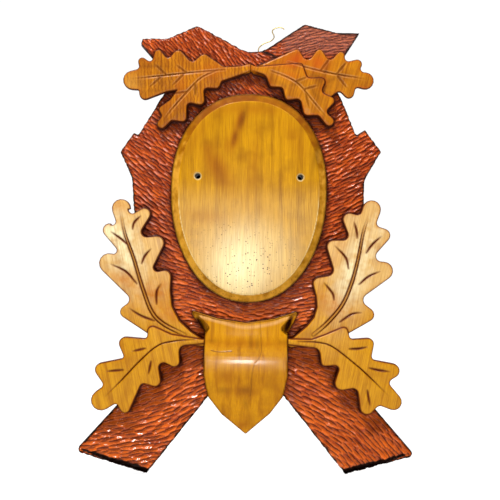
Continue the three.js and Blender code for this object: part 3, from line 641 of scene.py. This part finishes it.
give(logs, stained_logs_material())
finished(logs, "stained_logs", 196_000, "back_board")

# %% [markdown]
# ## The leaves
# Four sprays of two oak leaves each are let in round the oval and the shield. Each leaf is described as in
# the solids: where it springs from, its heading, its length, its midrib and its side veins, in shares of its
# length along and across it.

# %% Upper leaves
STEM = (0, 0.1705)
LEAVES = {
    "upper_left_long": dict(
        at=STEM, heading=184.6, length=0.168,
        rib=[(0.2, 0.008), (0.5, 0), (0.75, -0.01), (0.95, -0.015)],
        veins=[[(0.5, 0), (0.58, 0.07)], [(0.66, -0.005), (0.75, 0.09)], [(0.52, 0), (0.62, -0.09)],
               [(0.7, -0.01), (0.8, -0.09)]]),
    "upper_left_short": dict(
        at=STEM, heading=212.7, length=0.144,
        rib=[(0.25, 0.15), (0.43, 0.17), (0.6, 0.13), (0.8, 0.07), (0.93, 0.02)],
        veins=[[(0.6, 0.13), (0.74, 0.19)], [(0.5, 0.155), (0.56, 0.05)]]),
    "upper_right_front": dict(
        at=STEM, heading=-34, length=0.129,
        rib=[(0.18, -0.1), (0.35, -0.14), (0.5, -0.15), (0.7, -0.095), (0.94, -0.03)],
        veins=[[(0.57, -0.14), (0.66, -0.25)], [(0.45, -0.15), (0.53, -0.27)],
               [(0.6, -0.12), (0.72, -0.01)]]),
    "upper_right_back": dict(
        at=STEM, heading=-3.4, length=0.162,
        rib=[(0.3, -0.08), (0.55, -0.03), (0.75, -0.005), (0.95, 0.01)],
        veins=[[(0.57, -0.03), (0.64, -0.14)], [(0.7, -0.01), (0.78, -0.12)], [(0.7, -0.01), (0.8, 0.1)]]),
}

# %% Lower leaves
LEFT_SPRING = (-0.0567, -0.1857)
RIGHT_SPRING = (0.0567, -0.1857)
LEAVES.update({
    "lower_left_tall": dict(
        at=LEFT_SPRING, heading=121.7, length=0.215, raised=True,
        rib=[(0.08, -0.09), (0.2, -0.165), (0.3, -0.19), (0.45, -0.165), (0.65, -0.115), (0.8, -0.085),
             (0.95, -0.03)],
        veins=[[(0.25, -0.205), (0.32, -0.26), (0.4, -0.3)], [(0.5, -0.18), (0.6, -0.2), (0.69, -0.26)],
               [(0.73, -0.105), (0.78, -0.12), (0.86, -0.155)], [(0.8, -0.03), (0.83, 0), (0.845, 0.06)],
               [(0.59, -0.09), (0.62, -0.05), (0.64, 0.01)], [(0.33, -0.14), (0.395, -0.1), (0.425, -0.05)]]),
    "lower_left_short": dict(
        at=LEFT_SPRING, heading=210.5, length=0.17,
        rib=[(0.06, 0.03), (0.2, 0.095), (0.33, 0.13), (0.5, 0.1), (0.7, 0.04), (0.9, -0.015)],
        veins=[[(0.66, 0.1), (0.78, 0.155)], [(0.43, 0.16), (0.53, 0.19)], [(0.44, 0.05), (0.51, -0.03)]]),
    "lower_right_tall": dict(
        at=RIGHT_SPRING, heading=60.3, length=0.214, raised=True,
        rib=[(0.1, 0.11), (0.2, 0.145), (0.35, 0.17), (0.5, 0.15), (0.65, 0.108), (0.8, 0.055), (0.92, 0.03)],
        veins=[[(0.7, 0.135), (0.76, 0.14), (0.84, 0.165)], [(0.51, 0.195), (0.58, 0.22), (0.65, 0.27)],
               [(0.25, 0.21), (0.33, 0.25), (0.37, 0.3)], [(0.75, 0.04), (0.78, 0.02), (0.83, -0.03)],
               [(0.56, 0.09), (0.61, 0.04), (0.64, -0.06)], [(0.35, 0.11), (0.38, 0.08), (0.41, 0)]]),
    "lower_right_short": dict(
        at=RIGHT_SPRING, heading=-28.3, length=0.168,
        rib=[(0.06, -0.02), (0.2, -0.09), (0.32, -0.115), (0.55, -0.08), (0.7, -0.045), (0.9, 0.01)],
        veins=[[(0.65, -0.11), (0.72, -0.13), (0.81, -0.165)], [(0.44, -0.165), (0.5, -0.2), (0.56, -0.25)],
               [(0.72, 0.05), (0.8, 0.15)]]),
})


def leaf_line(leaf, shares):
    """Places on the plaque of a line given in shares along and across a leaf."""
    heading = math.radians(leaf["heading"])
    forward = Vector((math.cos(heading), math.sin(heading)))
    rightward = Vector((math.sin(heading), -math.cos(heading)))
    places = [Vector(leaf["at"]) + leaf["length"] * (along * forward + across * rightward)
              for along, across in shares]
    return smooth_places(places)


def share_along(leaf, points):
    """How far along a leaf each point is, as a share of its length."""
    heading = math.radians(leaf["heading"])
    flat = points[:, [0, 2]] - np.array(leaf["at"])
    return (flat[:, 0] * math.cos(heading) + flat[:, 1] * math.sin(heading)) / leaf["length"]


# %% [markdown]
# ## Carving a spray
# A vein is one V-shaped cut that thins out towards its ends. The tall leaves' midribs stand up between two
# such cuts, and the others are one cut each. The solids already have the cuts in their plain form, and here
# they get their depth and crispness.

# %% Carve a spray
LEAF_VOXEL = 0.9 * MM
RIB_HALF_WIDTH = (2.2 * MM, 1.3 * MM)
RIB_CUT = 1.5 * MM
RIB_RISE = 0.7 * MM
FACE_SINK = 0.3 * MM
VEIN_HALF_WIDTH = 2.5 * MM
LIP = (1.9 * MM, 0.8 * MM)
OVERLAY_BACK = board_front - SEAT_GAP
EDGE_REACH = (0.3 * MM, 2.0 * MM)
RIM_REACH = (1 * MM, 5 * MM)
CLEAR_OF_STEM = (4 * MM, 12 * MM)


def seat(points, tilt, voxel):
    """Lays an overlay's back flat on the logs."""
    on_seat = (tilt > 0.9) & (np.abs(points[:, 1] - OVERLAY_BACK) < voxel)
    points[on_seat, 1] = OVERLAY_BACK


def v_cut(away, half_width):
    return np.clip(1 - away / half_width, 0, 1)


def carve_leaf(leaf, points):
    """The leaf's cuts, how far its midrib stands up, and its cuts' lips, at each point from 0 to 1."""
    away, share = distance_to_line(points, leaf_line(leaf, leaf["rib"]))
    swell = np.clip(4 * (1 - share), 0, 1) * np.clip(0.4 + 4 * share, 0, 1)
    rise, lip = np.zeros((2, len(points)))
    if leaf.get("raised"):
        half = RIB_HALF_WIDTH[0] + (RIB_HALF_WIDTH[1] - RIB_HALF_WIDTH[0]) * share
        rise = np.sqrt(np.clip(1 - away / half, 0, 1)) * swell
        away = np.abs(away - half)
    else:
        lip = v_cut(np.abs(away - LIP[0]), LIP[1]) * swell
    cut = v_cut(away, RIB_CUT) * swell
    for vein in leaf["veins"]:
        away, share = distance_to_line(points, leaf_line(leaf, vein))
        swell = np.sin(np.pi * np.clip(0.15 + 0.85 * share, 0, 1)) ** 0.6
        cut = np.maximum(cut, v_cut(away, VEIN_HALF_WIDTH * (0.5 + 0.5 * swell)) * swell)
        lip = np.maximum(lip, v_cut(np.abs(away - LIP[0]), LIP[1]) * swell * 0.7)
    return cut, rise, lip * (cut < 0.3)


def carve_spray(node, name, leaf_names, cut_depth, glazed, pale_lips):
    """Carves a spray and returns it with its points and its rim. glazed and pale_lips are for its cuts."""
    piece, points, normals = remeshed(node, name, LEAF_VOXEL, smoothing=2)
    tilt = normals[:, 1]
    facing = ramp(-tilt, 0.35, 0.75)
    cut, rise, lips = np.max([carve_leaf(LEAVES[leaf_name], points) for leaf_name in leaf_names], axis=0)
    waves = soft_noise(points, 20 * MM, 5.0, 2)
    points[:, 1] += (cut * cut_depth - rise * RIB_RISE + FACE_SINK * (1 + waves)) * facing
    seat(points, tilt, LEAF_VOXEL)
    set_points(piece, points)
    wall = wall_distance(node, points, tilt < -0.3, RIM_REACH[1])
    edge = (1 - ramp(wall, *EDGE_REACH)) * (tilt < -0.3)
    edge = np.maximum(edge, 1 - ramp(np.abs(tilt), 0.2, 0.6))
    edge *= ramp(np.hypot(points[:, 0] - STEM[0], points[:, 2] - STEM[1]), *CLEAR_OF_STEM)
    # Painted shade and glaze: the cuts are darkened; their lips are made paler.
    set_shades(piece, cut=np.clip(cut * 1.5, 0, 1) * facing * glazed, edge=edge,
               crest=np.maximum(rise, lips * pale_lips) * facing, gloss=(1 - cut) * (1 - edge) * facing)
    return piece, points, (1 - ramp(wall, *RIM_REACH)) * np.clip(0.6 + 0.6 * waves, 0, 1)


# %% [markdown]
# ## Varnished carving wood
# The overlays are a pale hardwood under honey-coloured varnish. Its grain shows as long fine streaks. The
# cuts, the shield's hollows and the drilled holes are painted dark, as glaze and as the shade that falls in
# them, the edges are darker, and the raised parts and the cuts' lips get a colour of their own. Each piece
# keeps, for each of its points, how much it is cut, pale, or stained amber or brown. Some of the pale is
# painted light: glare on the tall leaves, a glow and a lit bevel on the oval, a highlight on the shield.

# %% Grain and pores
SAW_WAVE = 0.314


def grained(tree, coords, colours, grain_turn, grain_mm, streak, saw_mm):
    """Hardwood's colour, fibres and relief. Its grain leans from upright by grain_turn degrees."""
    dark, middle, light = colours["dark"], colours["middle"], colours["light"]
    turned = add(tree, "Mapping", {"Vector": coords, "Rotation": (0, math.radians(grain_turn), 0)})
    drawn = add(tree, "Mapping", {"Vector": turned, "Scale": (1, 1, 0.04)})
    fibres = add(tree, "TexNoise",
                 {"Vector": drawn, "Scale": 1 / (grain_mm * MM), "Detail": 5, "Roughness": 0.65})
    rings = add(tree, "TexNoise", {"Vector": drawn, "Scale": 1 / (9 * MM), "Detail": 3, "Distortion": 0.4})
    clouds = add(tree, "TexNoise", {"Vector": coords, "Scale": 1 / (28 * MM), "Detail": 5})
    flecks = add(tree, "TexNoise", {"Vector": coords, "Scale": 1 / (1.4 * MM), "Detail": 2})
    base = add(tree, "ValToRGB", {"Fac": rings}, [(0.3, dark), (0.7, light), (0.5, middle)])
    fibre = add(tree, "ValToRGB", {"Fac": fibres}, [(0.32, dark), (0.66, light)])
    wood = coated(tree, base, (streak, fibre))
    relief = fibres
    patterns = [(clouds, 0.5, 0.72, 0.5), (flecks, 0.6, 0.75, 0.3)]
    if saw_mm:
        relief = add(tree, "TexWave", {"Vector": turned, "Scale": SAW_WAVE / (saw_mm * MM), "Distortion": 5,
                                       "Detail": 3, "Detail Scale": 2}, out="Fac", bands_direction="X")
        patterns.append((relief, 0.5, 0.95, 0.55))
    for pattern, low, high, most in patterns:
        share = add(tree, "MapRange", {"Value": pattern, "From Min": low, "From Max": high, "To Max": most})
        wood = coated(tree, wood, (share, dark))
    return wood, fibres, relief


def open_pores(tree, coords, pore_mm):
    """How much a pore darkens the wood, in dots of many sizes, where the piece keeps them."""
    away = add(tree, "TexVoronoi", {"Vector": coords, "Scale": 1 / (pore_mm * MM)})
    size = add(tree, "SeparateXYZ", {"Vector": away.node.outputs["Color"]})
    reach = add(tree, "MapRange", {"Value": size, "From Min": 0.3, "To Max": 0.4})
    inside = add(tree, "Math", {0: reach, 1: away}, operation="SUBTRACT")
    dots = add(tree, "MapRange", {"Value": inside, "From Max": 0.1})
    return add(tree, "Math", {0: dots, 1: "pores"}, operation="MULTIPLY")


# %% Varnished wood


def varnished_wood(name, colours, grain_turn=0.0, grain_mm=1.6, streak=0.6, saw_mm=0, pore_mm=0, gloss=0.2,
                   coat_roughness=0.25, coat_ior=1.5):
    """Hardwood with its wear, stains and dark places, some of them painted light and shade, under varnish."""
    material, tree = new_material(name)
    coords = add(tree, "TexCoord", out="Object")
    wood, fibres, relief = grained(tree, coords, colours, grain_turn, grain_mm, streak, saw_mm)
    streaks = add(tree, "MapRange", {"Value": fibres, "From Min": 0.35, "From Max": 0.6, "To Min": 0.6})
    whitened = add(tree, "Math", {0: "pale", 1: streaks}, operation="MULTIPLY")
    # pale is in part painted glare, glow and highlight; crest on the oval's bevel is painted light.
    wood = coated(tree, wood, (whitened, colours["pale"]), ("amber", colours["amber"]),
                  ("crest", colours["crest_colour"]))
    if pore_mm:
        wood = coated(tree, wood, (open_pores(tree, coords, pore_mm), colours["glaze"]))
    # The glaze colour also paints shade into the cuts, the shield's hollows and the drilled holes.
    return surfaced(material, {
        "Base Color": coated(tree, wood, *[(share, colours["glaze"]) for share in ("edge", "brown", "cut")]),
        "Roughness": add(tree, "MapRange", {"Value": fibres, "To Min": 0.45, "To Max": 0.65}),
        "Normal": add(tree, "Bump", {"Height": relief, "Strength": 0.3, "Distance": 0.3 * MM}),
        "Coat Weight": add(tree, "Math", {0: "gloss", 1: gloss}, operation="MULTIPLY"),
        "Coat Roughness": coat_roughness,
        "Coat IOR": coat_ior,
        "Specular IOR Level": WOOD_SPECULAR,
    })


# %% Lower sprays
LOWER_COLOURS = dict(light="#cb9214", middle="#c08408", dark="#8e5204", pale="#e2d4a8", crest_colour="#a8701c",
                     glaze="#561e02", amber="#ae6208")


def lower_spray(side, grain_turn, pale_places, amber_places):
    """A tall pale leaf with an amber foot, and a short amber leaf."""
    node = f"leaf_spray_lower_{side}"
    names = [f"lower_{side}_tall", f"lower_{side}_short"]
    piece, points, rim = carve_spray(node, f"oak_spray_lower_{side}", names, 1.2 * MM, 1, 0)
    along = share_along(LEAVES[names[0]], points)
    # Painted glare and the wood's own pale: the tall leaf's upper part and the pale places are made paler.
    upper = ramp(along + soft_noise(points, 30 * MM, 21.0, 2) * 0.08, 0.3, 0.6)
    worn = blots(points, pale_places) * np.clip(0.85 + 0.5 * soft_noise(points, 14 * MM, 31.0, 3), 0, 1)
    mottled = blots(points, amber_places) * np.clip(0.9 + 0.9 * soft_noise(points, 9 * MM, 51.0, 3), 0, 1.4)
    set_shades(piece, pale=np.maximum(upper * 0.3, worn), amber=np.maximum(mottled, 0.4 * rim),
               brown=np.zeros(len(points)))
    give(piece, varnished_wood(f"honey varnish on pale lime wood, {side}", LOWER_COLOURS, grain_turn))
    finished(piece, "lower_leaf_wood", 110_000, node)


lower_spray("left", 12, [(-172, -58, 66, 32, -62, 1), (-150, -110, 40, 22, -60, 0.45)],
            [(-118, -128, 30, 16, 20, 0.6), (-105, -152, 30, 12, -10, 0.55), (-168, -12, 14, 10, 0, 0.35),
             (-160, -112, 24, 8, -25, 0.55), (-205, -60, 6, 16, 0, 0.3)])
lower_spray("right", -10, [(142, -92, 62, 26, 70, 0.95), (165, -45, 42, 20, 70, 0.7)],
            [(112, -140, 30, 14, -30, 0.45), (118, -70, 24, 9, 70, 0.25)])

# %% Upper sprays
UPPER_COLOURS = dict(light="#be7a0a", middle="#a86402", dark="#703401", pale="#d09840", crest_colour="#dca868",
                     glaze="#461902")


def upper_spray(side, leaf_names, saw_mm, grain_turn, amber, pale_places, amber_places, brown_places):
    """Two golden leaves with stains and worn places."""
    node = f"leaf_spray_upper_{side}"
    piece, points, rim = carve_spray(node, f"oak_spray_upper_{side}", leaf_names, 0.6 * MM, 0.6, 0.3)
    set_shades(piece, pale=blots(points, pale_places), brown=blots(points, brown_places),
               amber=np.maximum(blots(points, amber_places), 0.4 * rim))
    give(piece, varnished_wood(f"golden varnish on lime wood, {side}", {**UPPER_COLOURS, "amber": amber},
                               grain_turn, grain_mm=2.2, saw_mm=saw_mm))
    finished(piece, "upper_leaf_wood", 70_000, node)


upper_spray("left", ["upper_left_long", "upper_left_short"], 4.6, 3, "#9e4a04", [(-158, 146, 12, 16, 0, 0.5)],
            [(-50, 168, 22, 12, 20, 0.5), (-92, 145, 10, 24, 0, 0.4), (-108, 122, 14, 10, 0, 0.3)],
            [(-118, 158, 6, 22, 0, 0.3), (-105, 150, 5, 24, 0, 0.3), (-96, 108, 6, 14, -20, 0.3),
             (-150, 150, 14, 6, 0, 0.2), (-128, 172, 30, 2, 0, 0.3), (-115, 141, 30, 2, 5, 0.25)])
upper_spray("right", ["upper_right_front", "upper_right_back"], 0, -14, "#a83c06",
            [(150, 138, 10, 8, 0, 0.3)],
            [(60, 184, 22, 11, 20, 0.7), (90, 180, 14, 12, 0, 0.6), (52, 163, 14, 6, -10, 0.35)],
            [(90, 160, 12, 7, -40, 0.4), (112, 160, 14, 4, 20, 0.35), (62, 152, 12, 3, 15, 0.35),
             (84, 140, 14, 4, -50, 0.35), (100, 172, 3, 12, -20, 0.35), (42, 150, 14, 3, -30, 0.25)])

# %% [markdown]
# ## The oval
# The bare oval is a plain board with a broad bevel, cut by hand, so the bevel isn't quite even. The bevel
# is painted darker as shade at the top and towards the right, paler as lit below and to the left, and a
# painted highlight runs along its inner edge on the lower half. The two drilled holes have pale chipped
# rims, where the bit tore the varnished wood, and their walls are painted dark as shade. Brown streaks
# run down its upper half. Its lower half is painted paler, part wear and part the glow of a light
# reflected in the varnish, and it is speckled with open pores.

# %% Carve the oval
OVAL_VOXEL = 1.1 * MM
HOLE_RADIUS = 3.3 * MM
HOLE_PLACES = [(-67.5 * MM, 28 * MM), (67.5 * MM, 28 * MM)]
CHIP_WIDTH = 2.2 * MM
CHIP_DEPTH = 0.8 * MM
BEVEL_WAVES = 0.8 * MM
oval, points, normals = remeshed("oval_panel", "bare_oval", OVAL_VOXEL, smoothing=1)
x, y, z = points.T
tilt = normals[:, 1]
facing = ramp(-tilt, 0.2, 0.6)
slanting = facing * ramp(1 + tilt, 0.02, 0.12)
y += BEVEL_WAVES * (1 + soft_noise(points, 22 * MM, 9.0, 2)) * slanting
chipped, bored = np.zeros((2, len(points)))
for hole_x, hole_z in HOLE_PLACES:
    across, height = x - hole_x, z - hole_z
    away = np.hypot(across, height)
    on_wall = (away < HOLE_RADIUS + OVAL_VOXEL * 0.9) & (np.abs(tilt) < 0.75)
    scale = np.where(on_wall, HOLE_RADIUS / np.maximum(away, 0.1 * MM), 1)
    x[:] = hole_x + across * scale
    z[:] = hole_z + height * scale
    rim = np.clip(1 - (away - HOLE_RADIUS) / CHIP_WIDTH, 0, 1) * (facing > 0.5)
    y += rim * CHIP_DEPTH
    chipped = np.maximum(chipped, rim * 1.6)
    bored = np.maximum(bored, on_wall.astype(float))
seat(points, tilt, OVAL_VOXEL)
set_points(oval, points)
print("points in the drilled holes:", int(bored.sum()))

# %% Shades of the oval
OVAL_PORES = [(0, -96, 60, 40, 0, 1), (-20, -60, 50, 30, 0, 0.6)]
OVAL_PALE = [(-10, -88, 50, 44, 70, 0.85), (0, -80, 68, 54, 0, 0.5)]
OVAL_AMBER = [(-42, 40, 30, 12, -60, 0.75), (-60, -24, 30, 9, -6, 0.3), (-70, 80, 30, 8, 60, 0.3),
              (60, 80, 40, 14, -60, 0.3), (0, 118, 50, 10, 0, 0.5), (-54, 62, 10, 8, 0, 0.5),
              (6, 45, 40, 7, 86, 0.3), (-12, 103, 18, 6, 72, 1), (-20, 78, 16, 5, 74, 1),
              (-30, 70, 12, 3, 80, 0.5)]
OVAL_BROWN = [(-10, 104, 17, 3.4, 72, 0.55), (-19, 80, 12, 3, 74, 0.4), (-40, 36, 22, 5, -70, 0.2),
              (88, 55, 22, 5, 78, 0.45), (17.5, 80, 50, 0.9, 89, 0.3)]
EDGE_SEARCH = 6 * MM
OVAL_EDGE = (0.3 * MM, 2.2 * MM)
OVAL_COLOURS = dict(light="#c48c04", middle="#b07a00", dark="#7c4a00", pale="#eee0a8", crest_colour="#e2a43c",
                    glaze="#3c1a04", amber="#8c4a00")
wall = wall_distance("oval_panel", points, tilt < -0.2, EDGE_SEARCH)
edge = (1 - ramp(wall, *OVAL_EDGE)) * (bored == 0)
uneven = 0.9 + 0.6 * soft_noise(points, 22 * MM, 41.0, 2)
# Painted shade: the bevel is darkened most at the top and towards the right, with uneven patches.
bevel_shade = slanting * np.clip(uneven, 0.3, 1) * np.clip(
    0.12 + 0.85 * ramp(z, 0.03, 0.12) + 0.12 * ramp(x, 0.03, 0.09)
    + 0.3 * soft_noise(points, 11 * MM, 43.0, 3), 0, 1)
# Painted highlight: a pale line along the bevel's inner edge on the oval's lower half.
bevel_edge_highlight = np.exp(-(((1 + tilt) / 0.06 - 0.7) / 0.5) ** 2) * facing * ramp(-z, -0.03, 0.02)
satin = 0.35 + 0.65 * ramp(-z, -0.01, 0.07)
# Pale lower half: part wear and part a painted glow of light reflected in the varnish.
pale_wear_and_glow = blots(points, OVAL_PALE) * (1 - slanting)
# cut paints the drilled holes' walls dark as shade; crest is painted light on the unshaded bevel.
set_shades(oval, cut=bored, edge=edge * 0.8, crest=slanting * np.clip(0.5 - 1.2 * bevel_shade, 0, 1),
           gloss=(1 - bored) * (1 - edge) * (1 - 0.9 * slanting) * satin,
           pores=1.3 * blots(points, OVAL_PORES),
           pale=np.maximum(pale_wear_and_glow, np.maximum(chipped, bevel_edge_highlight * 0.8)),
           amber=blots(points, OVAL_AMBER) + 0.9 * bevel_shade,
           brown=blots(points, OVAL_BROWN) + bevel_shade * 0.4)
give(oval, varnished_wood("honey varnish on planed lime wood", OVAL_COLOURS, grain_mm=1.2, streak=0.5,
                          pore_mm=2.9, gloss=0.3, coat_roughness=0.2))
finished(oval, "oval_wood", 60_000, "oval_panel")

# %% [markdown]
# ## The shield
# The amber shield has curled upper corners with a hollow in each, painted dark as shade, a shallow dip
# below its upper edge and a round roll across its middle, and then it slopes away to its point. The solid's
# flats are rounded here to one smooth profile, and the roll is set a little higher, where the photograph
# has its bright band. A painted highlight lies along its upper edge. Old glue lines and smudges show
# through the varnish.

# %% Carve the shield
SHIELD_VOXEL = 1.0 * MM
EAR_HOLLOWS = [[(-0.0672, -0.1565), (-0.0615, -0.168), (-0.0555, -0.1795)],
               [(0.0605, -0.1545), (0.0535, -0.168), (0.0495, -0.1785)]]
EAR_HALF_WIDTH = 4.2 * MM
EAR_DEPTH = 4 * MM
GLUE_LINE = [(0.0171, -0.1619), (0.0185, -0.1846), (0.0188, -0.204), (0.0086, -0.2232), (0.0058, -0.259)]
SHORT_CRACK = [(-0.0466, -0.2005), (-0.036, -0.2022), (-0.0192, -0.201)]
CRACK_HALF_WIDTH = 0.9 * MM
CRACK_DEPTH = 0.4 * MM
PROFILE_HALF_WIDTH = 35 * MM
ROUNDING = 14
CREST_RAISED = 5 * MM
CROWN_RADIUS = 0.9


def rounded_profile(points, middle):
    """Heights on the shield a millimetre apart, its face's depth at each, and the same depths rounded."""
    heights = np.arange(points[:, 2].min(), points[:, 2].max(), MM)
    bins = np.digitize(points[middle, 2], heights)
    filled = [k for k in range(1, len(heights)) if np.any(bins == k)]
    depths = [np.median(points[middle, 1][bins == k]) for k in filled]
    profile = np.interp(np.arange(len(heights)), filled, depths)
    weights = np.exp(-((np.arange(-2 * ROUNDING, 2 * ROUNDING + 1) / ROUNDING) ** 2))
    padded = np.pad(profile, 2 * ROUNDING, "reflect", reflect_type="odd")
    return heights, profile, np.convolve(padded, weights / weights.sum(), "valid")


shield, points, normals = remeshed("crest_shield", "amber_shield", SHIELD_VOXEL, smoothing=2)
x, y, z = points.T
tilt = normals[:, 1]
facing = ramp(-tilt, 0.3, 0.7)
middle = (facing > 0.5) & (np.abs(x) < PROFILE_HALF_WIDTH)
heights, profile, rounded = rounded_profile(points, middle)
lifted = np.interp(z - CREST_RAISED, heights, rounded) - np.interp(z, heights, profile)
y += (lifted + x ** 2 / (2 * CROWN_RADIUS)) * facing
y += FACE_SINK * (1 + soft_noise(points, 30 * MM, 12.0, 1)) * facing
hollow, cracks = np.zeros((2, len(points)))
for line in EAR_HOLLOWS:
    away, share = distance_to_line(points, smooth_places(line))
    bowl = v_cut(away, EAR_HALF_WIDTH) * np.sin(np.pi * np.clip(0.1 + 0.85 * share, 0, 1))
    hollow = np.maximum(hollow, bowl)
for line, strength in ((GLUE_LINE, 0.6), (SHORT_CRACK, 0.9)):
    away, share = distance_to_line(points, smooth_places(line))
    cracks = np.maximum(cracks, v_cut(away, CRACK_HALF_WIDTH) * strength)
y += (hollow * EAR_DEPTH + cracks * CRACK_DEPTH) * facing
seat(points, tilt, SHIELD_VOXEL)
set_points(shield, points)
print("deepest hollow", round(hollow.max() * EAR_DEPTH / MM, 2), "mm")

# %% Shades of the shield
TOP_LIP = [(-0.0608, -0.1565), (-0.0293, -0.1646), (-0.0025, -0.1698), (0.0325, -0.1646), (0.0532, -0.1565)]
LIP_HALF_WIDTH = 3.5 * MM
POLISHED_BAND = [(0, -210, 400, 11, 0, 1)]
SHIELD_AMBER = [(-2, -191, 70, 6, 0, 0.45), (-27, -235, 12, 10, 0, 0.45), (-6, -299, 8, 6, 0, 0.6),
                (-12, -254, 30, 7, 0, 0.3), (40, -240, 14, 26, 0, 0.15)]
SHIELD_BROWN = [(5, -190, 3, 9, 0, 0.35), (14, -192, 3, 10, 0, 0.35), (-30, -252, 10, 5, 0, 0.3),
                (-1, -252, 8, 4, 0, 0.3), (-1, -270, 3, 8, 15, 0.3), (-46, -188, 8, 3, 0, 0.3),
                (50, -188, 10, 4, 0, 0.25)]
SHIELD_EDGE = (0.3 * MM, 1.8 * MM)
SHIELD_COLOURS = dict(light="#c88c06", middle="#bc7c00", dark="#8e5200", pale="#e0b07c", crest_colour="#e0b07c",
                      glaze="#421702", amber="#8a4602")
wall = wall_distance("crest_shield", points, tilt < -0.2, EDGE_SEARCH)
edge = 1 - ramp(wall, *SHIELD_EDGE)
# Painted highlight: a pale band along the shield's upper edge.
lip = v_cut(distance_to_line(points, smooth_places(TOP_LIP))[0], LIP_HALF_WIDTH)
# cut paints the ear hollows dark as shade, and darkens the glue line and the crack.
set_shades(shield, cut=np.maximum(ramp(hollow, 0.1, 0.7), cracks), edge=edge * 0.6, pale=0.5 * lip,
           crest=np.zeros(len(points)), gloss=0.05 + blots(points, POLISHED_BAND),
           amber=blots(points, SHIELD_AMBER), brown=blots(points, SHIELD_BROWN))
give(shield, varnished_wood("amber varnish on polished lime wood", SHIELD_COLOURS, grain_mm=1.4, streak=0.35,
                            gloss=1.0, coat_roughness=0.2, coat_ior=1.8))
finished(shield, "shield_wood", 60_000, "crest_shield")

# %% [markdown]
# ## Steel and brass
# The screws are zinc plated steel, the hanger is nickel plated, and the wire is dull brass. They are small
# and mostly hidden, but they show from behind.

# %% Metals


def plated_metal(name, dark, light, roughness):
    """Metal with a fine uneven surface, as plating leaves it."""
    material, tree = new_material(name)
    coords = add(tree, "TexCoord", out="Object")
    grain = add(tree, "TexNoise", {"Vector": coords, "Scale": 1 / (0.8 * MM), "Detail": 3})
    rough = {"Value": grain, "To Min": roughness - 0.08, "To Max": roughness + 0.1}
    return surfaced(material, {
        "Base Color": add(tree, "ValToRGB", {"Fac": grain}, [(0.35, dark), (0.65, light)]),
        "Roughness": add(tree, "MapRange", rough),
        "Metallic": 1,
    })


zinc = plated_metal("zinc plated steel", "#a9abad", "#d0d2d4", 0.35)
nickel = plated_metal("nickel plated steel", "#b0aca4", "#d6d2c8", 0.28)
brass = plated_metal("dull brass wire", "#a58a52", "#d8bf86", 0.42)
give(wire_piece, brass)
for name, node in nodes.items():
    if "_screw_" in name:
        give(node, zinc)
    elif name in ("hanger_strap", "hanging_ring"):
        give(node, nickel)

# %% [markdown]
# ## Floor and light
# The photograph has a plain white ground. Its main light stands high and a little to the left, so that every
# cut and notch is shaded on its lower side. A weaker and broader one stands high on the right, and a small
# one near the camera pales the oval's lower half and draws the bright band across the shield. A wall hides
# the light behind a hanging plaque, so the studio has a small dark flag far behind it, and the two drilled
# holes look dark.

# %% Floor
FLOOR_DROP = 2 * MM
FLOOR_SIZE = 12


def paper_material():
    return surfaced(new_material("matt white paper")[0], {
        "Base Color": "#909090", "Roughness": 0.9, "Emission Color": "#ffffff", "Emission Strength": 0.9})


bpy.ops.object.select_all(action="DESELECT")
bpy.ops.mesh.primitive_plane_add(size=FLOOR_SIZE, location=(0, 0, board_low.z - FLOOR_DROP))
floor = bpy.context.object
floor.name = "pale_floor"
give(floor, paper_material())

# %% Lights
LIGHT_TARGET = Vector((0, 0, -0.05))
LIGHTS = [
    ("light_above", (-0.45, -0.9, 1.5), (0.35, 0.25), 45),
    ("light_above_right", (0.7, -0.9, 1.3), (0.6, 0.45), 12),
    ("light_by_camera", (-0.03, -1.75, -0.07), (0.18, 0.26), 3.6),
]
for name, place, size, watts in LIGHTS:
    data = bpy.data.lights.new(name, "AREA")
    data.shape = "RECTANGLE"
    data.size, data.size_y = size
    data.energy = watts
    light = placed(name, data)
    aim = (LIGHT_TARGET - Vector(place)).to_track_quat("-Z", "Y")
    light.matrix_world = Matrix.Translation(place) @ aim.to_matrix().to_4x4()
    light.visible_camera = False
print(len(LIGHTS), "lights")

# %% Studio
FLAG_DIRECTION = (0, 0.999, 0.035)
FLAG_RADIUS = (0.07, 0.09)
STUDIO_LIGHT = (0.13, 1.05)
world = bpy.data.worlds.new("studio")
bpy.context.scene.world = world
world.use_nodes = True
sky = world.node_tree
sky.nodes.clear()
direction = add(sky, "TexCoord", out="Generated")
forward = add(sky, "SeparateXYZ", {"Vector": direction}, out="Y")
strength = add(sky, "MapRange", {"Value": forward, "From Min": 0.2, "From Max": 0.6,
                                 "To Min": STUDIO_LIGHT[0], "To Max": STUDIO_LIGHT[1]})
off_flag = add(sky, "VectorMath", {0: direction, 1: FLAG_DIRECTION}, out="Value", operation="DISTANCE")
unflagged = add(sky, "MapRange", {"Value": off_flag, "From Min": FLAG_RADIUS[0], "From Max": FLAG_RADIUS[1]})
light = add(sky, "Math", {0: strength, 1: unflagged}, operation="MULTIPLY")
backdrop = add(sky, "Background", {"Color": "#ffffff", "Strength": light})
add(sky, "OutputWorld", {"Surface": backdrop})
bpy.context.scene.view_settings.view_transform = "Standard"
